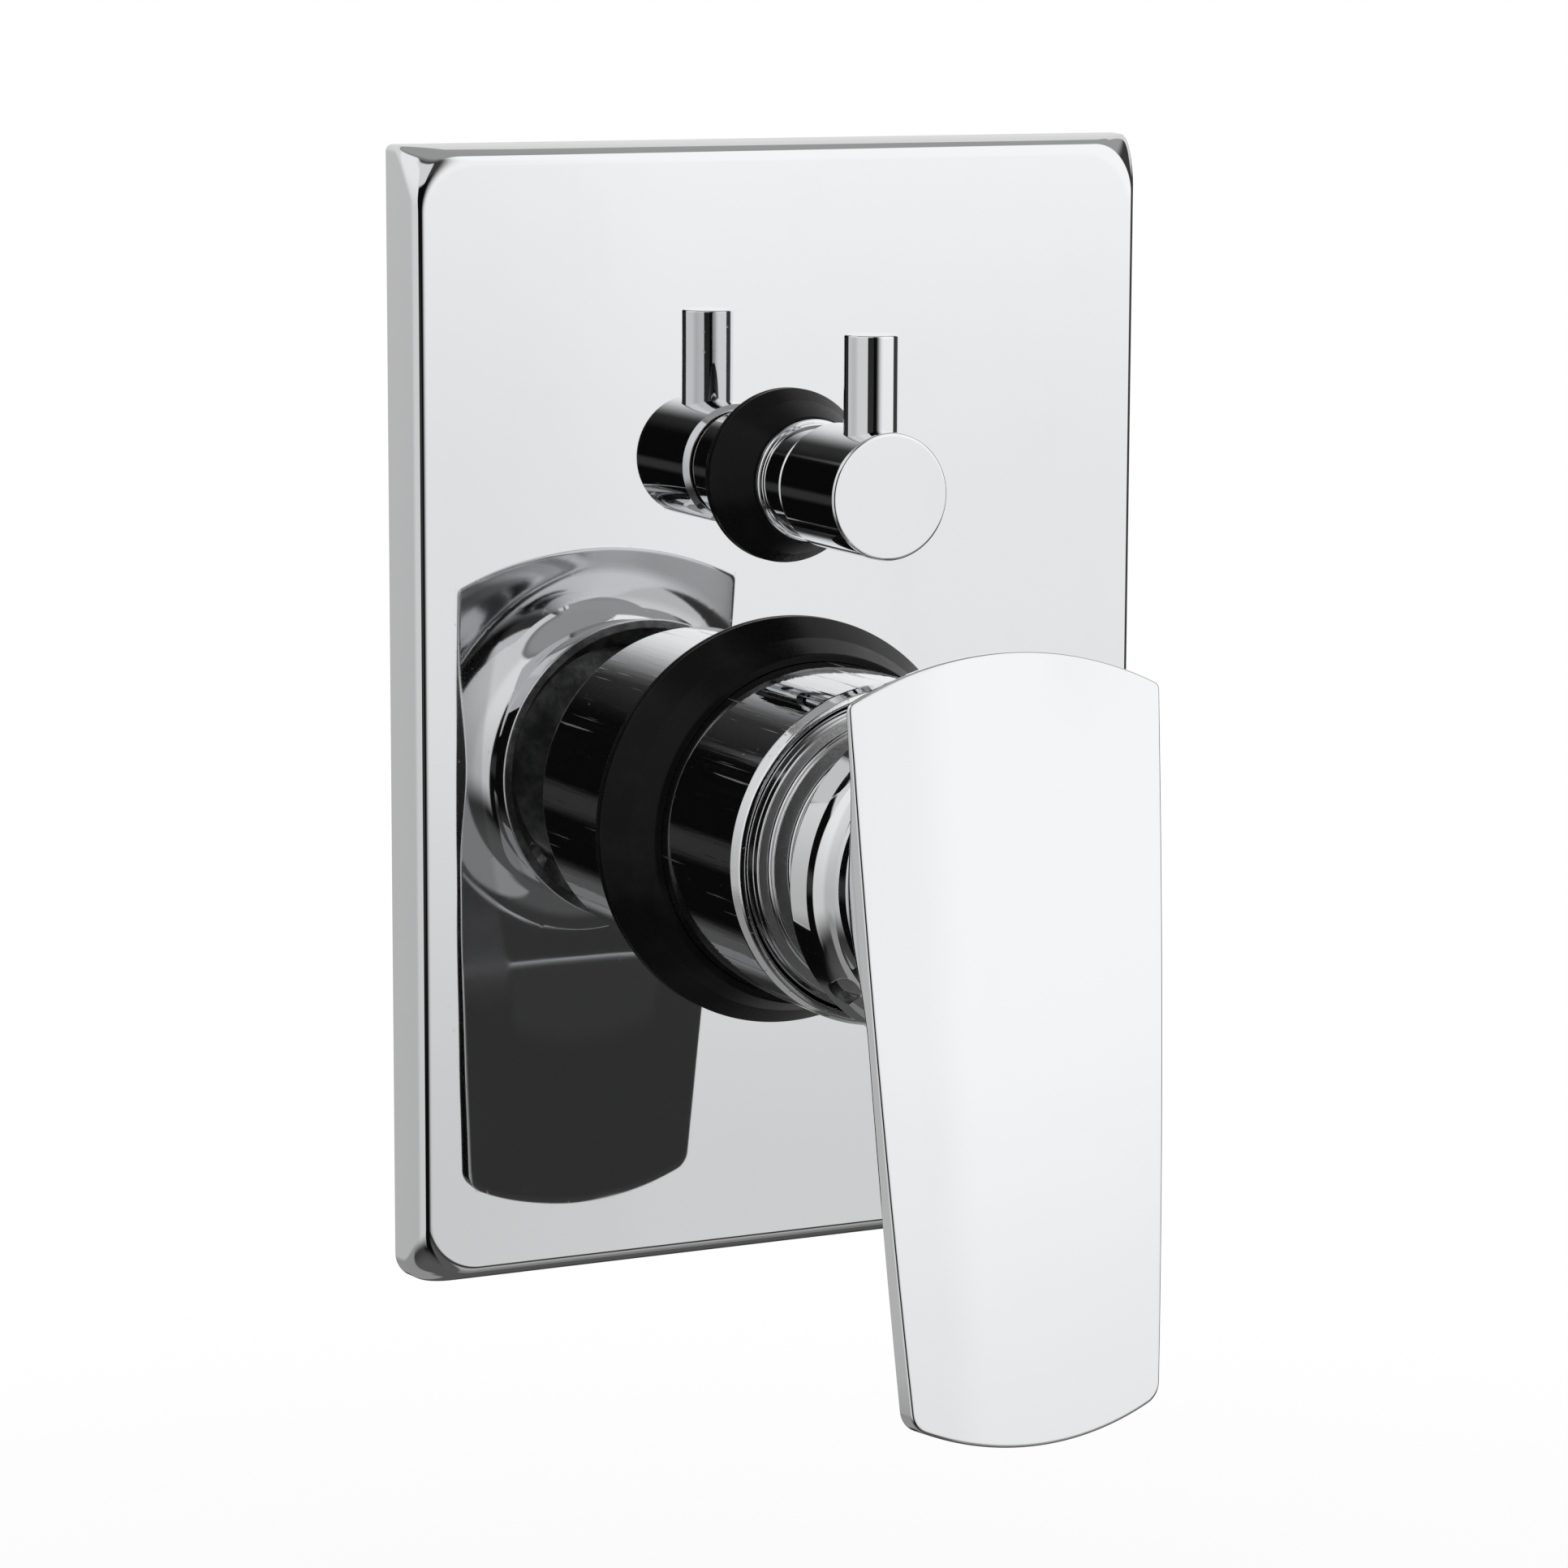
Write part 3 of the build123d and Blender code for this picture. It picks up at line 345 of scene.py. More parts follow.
def screw_hole(paint):
    """1 on the wall of the grub screw's hole in the lever's cup."""
    x, y, z = paint.axes(paint.place())
    across = x * 1000
    up = z * 1000 - MIXER_Y
    cosine, sine = math.cos(SCREW_HEADING), math.sin(SCREW_HEADING)
    aside = across * sine - up * cosine
    along = across * cosine + up * sine
    out = y * 1000 + SCREW_OUT
    return (aside * aside + out * out).root().below(2.57, 2.6) * along.above(4, 5)


def lever_chrome():
    """Lever: polished outside, left as cast inside the cup, where painted shade makes the hollow and the screw
    hole near black; the flat back is painted a little darker as shade.
    """
    material, paint = new_material("lever_chrome")
    chrome = tuple(colours().chrome)
    layer = paint.node("ShaderNodeAttribute", {"attribute_name": "as_cast"}, {}, "Fac")
    # The cup's hollow and the screw hole's wall: rough cast metal, painted near black as shade.
    inside = (layer.above(0.4, 0.7) + screw_hole(paint)).clamped()
    # The flat back: a little rougher, and painted darker as shade.
    dull = layer.between(0.2, 0.4, 0.15)
    cloud = paint.noise(30.0, 4.0, 0.55)
    wipe = paint.noise(8.0, 3.0, 0.6, paint.stretched((5.0, 5.0, 0.6)))
    smear = cloud.above(0.45, 0.8) * wipe.above(0.42, 0.7)
    grit = paint.noise(620.0, 4.0, 0.7)
    pits = paint.noise(190.0, 3.0, 0.6)
    polished = paint.mixed(smear * 0.5, chrome, shade(chrome, 0.94))
    # Cast colour: near black, painted shade over the rough cast metal of the hollow.
    cast = paint.mixed(pits.above(0.35, 0.7), shade(chrome, 0.12), shade(chrome, 0.34))
    wave = paint.noise(42.0, 1.0, 0.4)
    height = wave * (1 - inside) * 0.16 + (grit + pits * 1.5) * inside
    paint.surface(
        {
            "Base Color": paint.mixed(inside, paint.mixed(dull, polished, shade(chrome, 0.8)), cast),
            "Metallic": 1.0,
            "Roughness": 0.02 + smear * 0.03 + dull * (0.04 + cloud * 0.07) + inside * (0.34 + grit * 0.16),
            "Normal": paint.bump(height, 0.00022, 0.5),
        }
    )
    return material


def black_rubber():
    """Moulded seal rubber: soft sheen, faint bloom and dust."""
    material, paint = new_material("black_rubber")
    rubber = tuple(colours().rubber)
    bloom = paint.noise(70.0, 4.0, 0.6).above(0.45, 0.75)
    dust = paint.noise(1400.0, 2.0, 0.5).above(0.72, 0.78)
    grain = paint.noise(2200.0, 3.0, 0.7)
    base = paint.mixed(bloom * 0.3 + dust * 0.3, rubber, (0.018, 0.018, 0.0185))
    paint.surface(
        {
            "Base Color": base,
            "Roughness": 0.24 + bloom * 0.1 + grain * 0.06,
            "Normal": paint.bump(grain, 0.00002, 0.6),
            "Specular IOR Level": 0.09,
        }
    )
    return material


def brass_body():
    """Sand cast brass: a grainy skin, bright machined faces and cut threads in the four ports."""
    material, paint = new_material("brass_body")
    brass = tuple(colours().brass)
    x, y, z = paint.axes(paint.place())
    along = abs(x) * 1000
    up = z * 1000
    depth = y * 1000
    inlet_depth, inlet_up = depth - INLET_DEPTH, up - MIXER_Y
    outlet_depth = depth - OUTLET_DEPTH
    inlet_axis = (inlet_depth * inlet_depth + inlet_up * inlet_up).root()
    outlet_axis = (outlet_depth * outlet_depth + along * along).root()
    inlet_thread = along.between(29.5, 44.4, 0.1) * inlet_axis.below(9.35, 9.6)
    top_thread = up.between(66.5, 81.4, 0.1) * outlet_axis.below(9.35, 9.6)
    low_thread = up.between(-73.4, -58.5, 0.1) * outlet_axis.below(9.35, 9.6)
    inlet_face = along.above(44.8, 44.95)
    top_face = up.above(81.8, 81.95)
    low_face = up.below(-73.95, -73.8)
    barrel = axis_radius(paint, 0.0, MIXER_Y).below(27.2, 27.4) * depth.below(3.0, 3.2)
    front = depth.below(-22.0, -21.8)
    cut = (inlet_thread + top_thread + low_thread).clamped()
    machined = (cut + inlet_face + top_face + low_face + barrel + front).clamped()
    lead = THREAD_PITCH / math.tau
    inlet_groove = (along + paint.angle(inlet_up, inlet_depth) * lead).saw(THREAD_PITCH)
    outlet_groove = (up + paint.angle(x * 1000, outlet_depth) * lead).saw(THREAD_PITCH)
    thread = inlet_groove * inlet_thread + outlet_groove * (top_thread + low_thread)
    lathe = depth.saw(0.16) * barrel
    grit = paint.noise(900.0, 4.0, 0.7)
    lumps = paint.noise(160.0, 3.0, 0.55)
    tarnish = paint.noise(26.0, 4.0, 0.6).above(0.42, 0.72)
    cast = paint.mixed(tarnish, shade(brass, 0.82), shade(brass, 0.52))
    cast = paint.mixed(grit.above(0.55, 0.72) * 0.45, cast, shade(brass, 0.36))
    skin = (1 - machined) * (grit * 0.5 + lumps)
    height = skin * 0.35 + thread * cut * 1.6 + lathe * 0.02
    paint.surface(
        {
            "Base Color": paint.mixed(machined, cast, paint.mixed(tarnish * 0.35, brass, shade(brass, 0.8))),
            "Metallic": 1.0,
            "Roughness": 0.46 + grit * 0.12 - machined * 0.24,
            "Normal": paint.bump(height, 0.0005, 0.55),
        }
    )
    return material


def turned_brass():
    """Bar stock brass with lathe rings."""
    material, paint = new_material("turned_brass")
    brass = tuple(colours().brass)
    _, y, _ = paint.axes(paint.place())
    rings = paint.noise(2.0, 3.0, 0.6, paint.stretched((20.0, 1800.0, 20.0)))
    stain = paint.noise(60.0, 4.0, 0.6).above(0.4, 0.75)
    height = rings + (y * 1000).saw(0.12) * 0.5
    paint.surface(
        {
            "Base Color": paint.mixed(stain * 0.5, shade(brass, 1.1), shade(brass, 0.72)),
            "Metallic": 1.0,
            "Roughness": 0.2 + rings * 0.12,
            "Normal": paint.bump(height, 0.00002, 0.5),
        }
    )
    return material


def turned_steel():
    """Stainless steel with lathe rings and a few scratches."""
    material, paint = new_material("turned_steel")
    steel = tuple(colours().steel)
    rings = paint.noise(2.0, 3.0, 0.6, paint.stretched((30.0, 2200.0, 30.0)))
    scratch = paint.noise(500.0, 2.0, 0.5, paint.stretched((1.0, 1.0, 0.1))).above(0.62, 0.7)
    paint.surface(
        {
            "Base Color": paint.mixed(scratch * 0.4, steel, shade(steel, 0.7)),
            "Metallic": 1.0,
            "Roughness": 0.22 + rings * 0.14,
            "Normal": paint.bump(rings, 0.00002, 0.5),
        }
    )
    return material


def blackened_steel():
    """Socket screws with a black oxide skin worn bright on the edges."""
    material, paint = new_material("blackened_steel")
    worn = paint.noise(700.0, 3.0, 0.6).above(0.55, 0.68)
    paint.surface(
        {
            "Base Color": paint.mixed(worn * 0.6, (0.035, 0.035, 0.038), (0.3, 0.3, 0.31)),
            "Metallic": 0.9,
            "Roughness": 0.38 + worn * 0.1,
            "Normal": paint.bump(worn, 0.00002, 0.4),
        }
    )
    return material


def cartridge_plastic():
    """Glass filled plastic: dull off-white with a fine flow pattern."""
    material, paint = new_material("cartridge_plastic")
    flow = paint.noise(45.0, 4.0, 0.6, paint.stretched((1.0, 5.0, 1.0)))
    grain = paint.noise(1300.0, 3.0, 0.6)
    paint.surface(
        {
            "Base Color": paint.mixed(flow.above(0.35, 0.7), (0.56, 0.55, 0.52), (0.66, 0.655, 0.63)),
            "Roughness": 0.42 + grain * 0.14,
            "Normal": paint.bump(grain, 0.00003, 0.5),
        }
    )
    return material


def ceramic_disc():
    """Lapped alumina: white with a few grey grains."""
    material, paint = new_material("ceramic_disc")
    grain = paint.noise(1700.0, 2.0, 0.5).above(0.6, 0.72)
    tint = paint.noise(90.0, 3.0, 0.5)
    base = paint.mixed(tint, (0.78, 0.77, 0.74), (0.84, 0.835, 0.81))
    paint.surface(
        {
            "Base Color": paint.mixed(grain * 0.35, base, (0.6, 0.59, 0.57)),
            "Roughness": 0.16 + grain * 0.2,
            "Coat Weight": 0.15,
        }
    )
    return material


def gasket_foam():
    """Closed cell foam: each small open pore at its cut faces is a hollow, painted darker as shade."""
    material, paint = new_material("gasket_foam")
    cells = paint.node(
        "ShaderNodeTexVoronoi", {"feature": "DISTANCE_TO_EDGE"}, {"Vector": paint.place(), "Scale": 1500.0}
    )
    shaded_pores = cells.above(0.02, 0.32)
    tone = paint.noise(120.0, 3.0, 0.6)
    # Pore centres painted darker as shade, the cell walls between them lighter.
    base = paint.mixed(shaded_pores, (0.11, 0.11, 0.115), (0.035, 0.035, 0.037))
    paint.surface(
        {
            "Base Color": paint.mixed(tone * 0.4, base, (0.07, 0.07, 0.073)),
            "Roughness": 0.85,
            "Normal": paint.bump(1 - shaded_pores, 0.00012, 0.8),
        }
    )
    return material


def softened(corners, steps=5, hold=0.16):
    """Profile through (radius, out, rounding) corners, closed, with an arc at each rounded one."""
    points = []
    count = len(corners)
    for index, (radius, out, rounding) in enumerate(corners):
        here = Vector((radius, out))
        if rounding <= 0:
            points.append(here)
            continue
        before = Vector(corners[index - 1][:2]) - here
        after = Vector(corners[(index + 1) % count][:2]) - here
        before_length, after_length = before.length, after.length
        before.normalize()
        after.normalize()
        half = before.angle(after) / 2
        reach = rounding / math.tan(half)
        centre = here + (before + after).normalized() * (rounding / math.sin(half))
        start = here + before * reach - centre
        turn = start.angle_signed(here + after * reach - centre)
        if reach + hold < before_length / 2:
            points.append(here + before * (reach + hold))
        for step in range(steps + 1):
            arm = start.copy()
            arm.rotate(Matrix.Rotation(-turn * step / steps, 2))
            points.append(centre + arm)
        if reach + hold < after_length / 2:
            points.append(here + after * (reach + hold))
    return points


def spun(bm, profile, centre_y, steps=256):
    """Adds a (radius, out) profile spun about the line x = 0, y = centre_y, closed unless it ends there."""
    verts = [bm.verts.new((point[0], centre_y, point[1])) for point in profile]
    first = 1 if profile[0][0] == 0 else 0
    edges = [bm.edges.new((verts[index - 1], verts[index])) for index in range(first, len(verts))]
    bmesh.ops.spin(
        bm,
        geom=verts + edges,
        cent=(0, centre_y, 0),
        axis=(0, 0, 1),
        dvec=(0, 0, 0),
        angle=math.tau,
        steps=steps,
        use_merge=True,
        use_duplicate=False,
    )


def finished(bm, name, material, body, nodes, sharp=38.0, clean=True):
    """Hangs the drawing in the row's frame and makes it a piece on a body."""
    if clean:
        bmesh.ops.remove_doubles(bm, verts=bm.verts, dist=0.0005)
        bmesh.ops.dissolve_degenerate(bm, edges=bm.edges, dist=0.0002)
        bmesh.ops.recalc_face_normals(bm, faces=bm.faces)
    bmesh.ops.transform(bm, matrix=HANG, verts=bm.verts)
    mesh = bpy.data.meshes.new(name)
    bm.to_mesh(mesh)
    bm.free()
    mesh.shade_smooth()
    mesh.set_sharp_from_angle(angle=math.radians(sharp))
    mesh.materials.append(material)
    piece = bpy.data.objects.new(name, mesh)
    bpy.context.scene.collection.objects.link(piece)
    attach(piece, body)
    if nodes:
        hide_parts(*nodes)
    return piece


def ring_of(bm, count, where):
    """A loop of edges with its vertices placed by where(index)."""
    made = bmesh.ops.create_circle(bm, cap_ends=False, radius=1.0, segments=count)
    verts = made["verts"]
    for index, vert in enumerate(verts):
        vert.co = where(index)
    return verts


def next_ring(bm, ring, where):
    """Extrudes a ring of vertices and places the new ones by where(index)."""
    count = len(ring)
    loop = [bm.edges.get((ring[index - 1], ring[index])) for index in range(count)]
    places = {vert: index for index, vert in enumerate(ring)}
    made = bmesh.ops.extrude_edge_only(bm, edges=loop)["geom"]
    new_verts = [item for item in made if isinstance(item, bmesh.types.BMVert)]
    ordered = [None] * count
    for vert in new_verts:
        for edge in vert.link_edges:
            other = edge.other_vert(vert)
            if other in places:
                ordered[places[other]] = vert
    for index, vert in enumerate(ordered):
        vert.co = where(index)
    return ordered


def loop_edges(bm, ring):
    return [bm.edges.get((ring[index - 1], ring[index])) for index in range(len(ring))]


def rounded_rectangle(width, height, corners, corner_steps, side_steps):
    """Points round a rectangle with four round corners, anticlockwise from the right side."""
    arcs = []
    signs = ((1, 1), (-1, 1), (-1, -1), (1, -1))
    for quarter, (sign_x, sign_y) in enumerate(signs):
        corner = corners[quarter]
        x, y = sign_x * (width / 2 - corner), sign_y * (height / 2 - corner)
        angles = [(quarter + step / corner_steps) * math.pi / 2 for step in range(corner_steps + 1)]
        arcs.append([(x + corner * math.cos(angle), y + corner * math.sin(angle)) for angle in angles])
    points = []
    for arc, following in zip(arcs, arcs[1:] + arcs[:1]):
        start, end = Vector(arc[-1]), Vector(following[0])
        points += arc
        points += [tuple(start.lerp(end, step / side_steps)) for step in range(1, side_steps)]
    return points


def plate_mesh(sizes, barrels):
    """Hollow plate: creased corners at the wall that open into a wide soft corner round the face."""
    bm = bmesh.new()
    corner_steps, side_steps = 20, 10
    # The lower corners at the wall are rounder than the upper ones.
    low_back = sizes.back_corner * 4

    def placed(inset, out, corner, low_corner=None):
        low_corner = corner if low_corner is None else low_corner
        corners = (corner, corner, low_corner, low_corner)
        points = rounded_rectangle(
            sizes.width - 2 * inset, sizes.height - 2 * inset, corners, corner_steps, side_steps
        )
        return lambda index: Vector((*points[index], out))

    def opened(out, back):
        """Corner at this height: as at the wall up to a third of the way, then wider and wider."""
        share = max(0.0, (out / sizes.depth - 0.35) / 0.65)
        share = share * share * (3 - 2 * share)
        return max(0.5, back + (sizes.front_corner - back) * share)

    count = 4 * (corner_steps + side_steps)
    ring = ring_of(bm, count, placed(0, 0, sizes.back_corner, low_back))
    first = ring
    # The roll from side to face is quicker than a circle's: a superellipse with this exponent.
    roll_steps, fullness = 24, 0.8
    roll_in, roll_out = sizes.front_round * 1.2, sizes.depth * 0.62
    lean = sizes.draft / sizes.depth
    stations = [(lean * out, out) for out in (0.3, 1.2, 2.4, sizes.depth - roll_out)]
    for step in range(1, roll_steps + 1):
        angle = math.pi / 2 * step / roll_steps
        inset = roll_in * (1 - max(0.0, math.cos(angle)) ** fullness)
        out = sizes.depth - roll_out * (1 - math.sin(angle) ** fullness)
        stations.append((lean * out + inset, out))
    stations.append((stations[-1][0] + 0.4, sizes.depth))
    for inset, out in stations:
        corner, low_corner = opened(out, sizes.back_corner), opened(out, low_back)
        ring = next_ring(bm, ring, placed(inset, out, corner, low_corner))
    front = loop_edges(bm, ring)
    inner_depth = sizes.depth - sizes.wall
    inner_corner = sizes.front_corner - sizes.wall
    inner = next_ring(bm, first, placed(0.25, 0.0, sizes.back_corner, low_back))
    for inset, out, corner, low_corner in (
        (sizes.wall - 0.25, 0.0, sizes.back_corner, low_back),
        (sizes.wall, 0.25, sizes.back_corner, low_back),
        (sizes.wall + lean * 4, inner_depth / 2, 4.0, 5.0),
        (sizes.wall + sizes.draft, inner_depth, inner_corner, inner_corner),
    ):
        inner = next_ring(bm, inner, placed(inset, out, corner, low_corner))
    back = loop_edges(bm, inner)
    for centre_y, radius in (
        (MIXER_Y, barrels.sleeve_radius + sizes.seal_spigot),
        (DIVERTER_Y, barrels.collar_radius + sizes.seal_spigot),
    ):

        def circle(out, radius=radius, centre_y=centre_y):
            def where(index):
                angle = math.tau * index / 128
                return Vector((radius * math.cos(angle), centre_y + radius * math.sin(angle), out))

            return where

        hole = ring_of(bm, 128, circle(sizes.depth))
        front += loop_edges(bm, hole)
        back += loop_edges(bm, next_ring(bm, hole, circle(inner_depth)))
    bmesh.ops.triangle_fill(bm, use_beauty=True, use_dissolve=False, edges=front)
    bmesh.ops.triangle_fill(bm, use_beauty=True, use_dissolve=False, edges=back)
    return bm


def circle_through(first, middle, last):
    """Centre and radius of the circle through three points."""
    ax, ay = first
    bx, by = middle
    cx, cy = last
    d = 2 * (ax * (by - cy) + bx * (cy - ay) + cx * (ay - by))
    a, b, c = ax * ax + ay * ay, bx * bx + by * by, cx * cx + cy * cy
    x = (a * (by - cy) + b * (cy - ay) + c * (ay - by)) / d
    y = (a * (cx - bx) + b * (ax - cx) + c * (bx - ax)) / d
    return Vector((x, y)), math.hypot(ax - x, ay - y)


def corner_round(end_circle, side_circle, radius, near):
    """Centre and tangent points of a round inside two circles, nearest to near."""
    (c1, r1), (c2, r2) = end_circle, side_circle
    r1, r2 = r1 - radius, r2 - radius
    gap = c2 - c1
    d = gap.length
    along = (d * d + r1 * r1 - r2 * r2) / (2 * d)
    side = math.sqrt(r1 * r1 - along * along)
    middle = c1 + gap * (along / d)
    normal = Vector((-gap.y, gap.x)) / d
    centre = min((middle + normal * side, middle - normal * side), key=lambda p: (p - near).length)
    on_end = c1 + (centre - c1).normalized() * (r1 + radius)
    on_side = c2 + (centre - c2).normalized() * (r2 + radius)
    return centre, on_end, on_side


def arc_between(centre, start, end, steps):
    """Points along the short arc from start to end, without the last one."""
    arm = start - centre
    turn = arm.angle_signed(end - centre)
    points = []
    for step in range(steps):
        turned_arm = arm.copy()
        turned_arm.rotate(Matrix.Rotation(-turn * step / steps, 2))
        points.append(centre + turned_arm)
    return points


def paddle_outline(sizes):
    """Right half of the paddle's outline from top middle to bottom middle, then mirrored."""
    top_half, top_y, top_corner = 29.2, 33.8, 1.5
    low_half, low_y, low_corner = 23.4, -85.5, 4.0
    bulge = 0.7
    top_arc = circle_through((-top_half, top_y), (0, sizes.top), (top_half, top_y))
    low_arc = circle_through((-low_half, low_y), (0, sizes.bottom), (low_half, low_y))
    middle = ((top_half + low_half) / 2 + bulge, (top_y + low_y) / 2)
    side_arc = circle_through((top_half, top_y), middle, (low_half, low_y))
    upper = corner_round(top_arc, side_arc, top_corner, Vector((top_half, top_y)))
    lower = corner_round(low_arc, side_arc, low_corner, Vector((low_half, low_y)))
    half = arc_between(top_arc[0], Vector((0, sizes.top)), upper[1], 16)
    half += arc_between(upper[0], upper[1], upper[2], 6)
    start, end = upper[2], lower[2]
    centre, radius = side_arc
    side = []
    # Points down the side stand at even angles about the cup, so they are closest beside it.
    steps, reach = 84, 27.0
    first, last = math.atan(start.y / reach), math.atan(end.y / reach)
    for step in range(steps):
        height = reach * math.tan(first + (last - first) * step / steps)
        side.append(Vector((centre.x + math.sqrt(radius * radius - (height - centre.y) ** 2), height)))
    half += side
    half += arc_between(lower[0], lower[2], lower[1], 8)
    half += arc_between(low_arc[0], lower[1], Vector((0, sizes.bottom)), 14)
    half.append(Vector((0, sizes.bottom)))
    mirrored = [Vector((-point.x, point.y)) for point in reversed(half[1:-1])]
    return half + mirrored


class LeverForm:
    """Surfaces of the lever: its crowned front, its back plane and the blend into the cup."""

    def __init__(self, sizes):
        self.sizes = sizes
        lean = math.radians(sizes.lean)
        self.normal = Vector((0, math.sin(lean), math.cos(lean)))
        self.up = Vector((0, math.cos(lean), -math.sin(lean)))
        self.origin = Vector((0, 0, sizes.front))
        self.slope = (sizes.bottom_thickness - sizes.top_thickness) / (sizes.top - sizes.bottom)
        self.waist = sizes.cup_radius - 3.6
        self.blend = sizes.cup_height * 0.4
        at_axis = sizes.top_thickness + self.slope * sizes.top
        self.back_lean = lean - math.atan(self.slope)
        self.back_out = sizes.front - at_axis * (math.cos(lean) + math.sin(lean) * math.tan(self.back_lean))

    def front(self, u, v):
        crown = self.sizes.crown
        drop = crown - math.sqrt(crown * crown - u * u)
        return self.origin + Vector((u, 0, 0)) + self.up * v - self.normal * drop

    def level(self, share):
        return self.sizes.front - self.sizes.cup_height * (1 - share)

    def blend_arc(self, sine):
        """Centre (radius, out) and end angle of the blend where the direction has this sine."""
        rise = -math.tan(self.back_lean) * sine
        centre_radius = self.waist + self.blend
        centre_out = self.back_out + rise * centre_radius - self.blend * math.sqrt(1 + rise * rise)
        return centre_radius, centre_out, math.atan2(1, -rise), rise

    def back(self, radius, sine):
        """How far out the back lies at this radius from the axis."""
        centre_radius, centre_out, end, rise = self.blend_arc(sine)
        if radius < centre_radius + self.blend * math.cos(end):
            reach = max(0.0, self.blend ** 2 - (radius - centre_radius) ** 2)
            return centre_out + math.sqrt(reach)
        return self.back_out + rise * radius

    def dropped(self, u, v):
        """The outline point (u, v) moved along the face's normal to the lever's back."""
        start = self.origin + Vector((u, 0, 0)) + self.up * v
        depth = 3.0
        for _ in range(12):
            point = start - self.normal * depth
            radius = math.hypot(point.x, point.y)
            depth += (point.z - self.back(radius, point.y / radius)) / self.normal.z
        return start - self.normal * depth

    def back_path(self, edge, steps):
        """Points on the back from the outline's edge point to the waist, closer together near it."""
        radius = math.hypot(edge.x, edge.y)
        cosine, sine = edge.x / radius, edge.y / radius
        centre_radius, centre_out, end, rise = self.blend_arc(sine)
        tangent = centre_radius + self.blend * math.cos(end)
        flat = max(0.0, radius - tangent)
        reached = min(radius, tangent)
        start = math.acos(max(-1.0, min(1.0, (reached - centre_radius) / self.blend)))
        arc = self.blend * (math.pi - start)
        path = []
        for step in range(1, steps + 1):
            travelled = (flat + arc) * (1 - (1 - step / steps) ** 1.6)
            if travelled < flat:
                distance = radius - travelled
                out = self.back_out + rise * distance
            else:
                angle = start + (travelled - flat) / self.blend
                distance = centre_radius + self.blend * math.cos(angle)
                out = centre_out + self.blend * math.sin(angle)
            path.append(Vector((distance * cosine, distance * sine, out)))
        return path


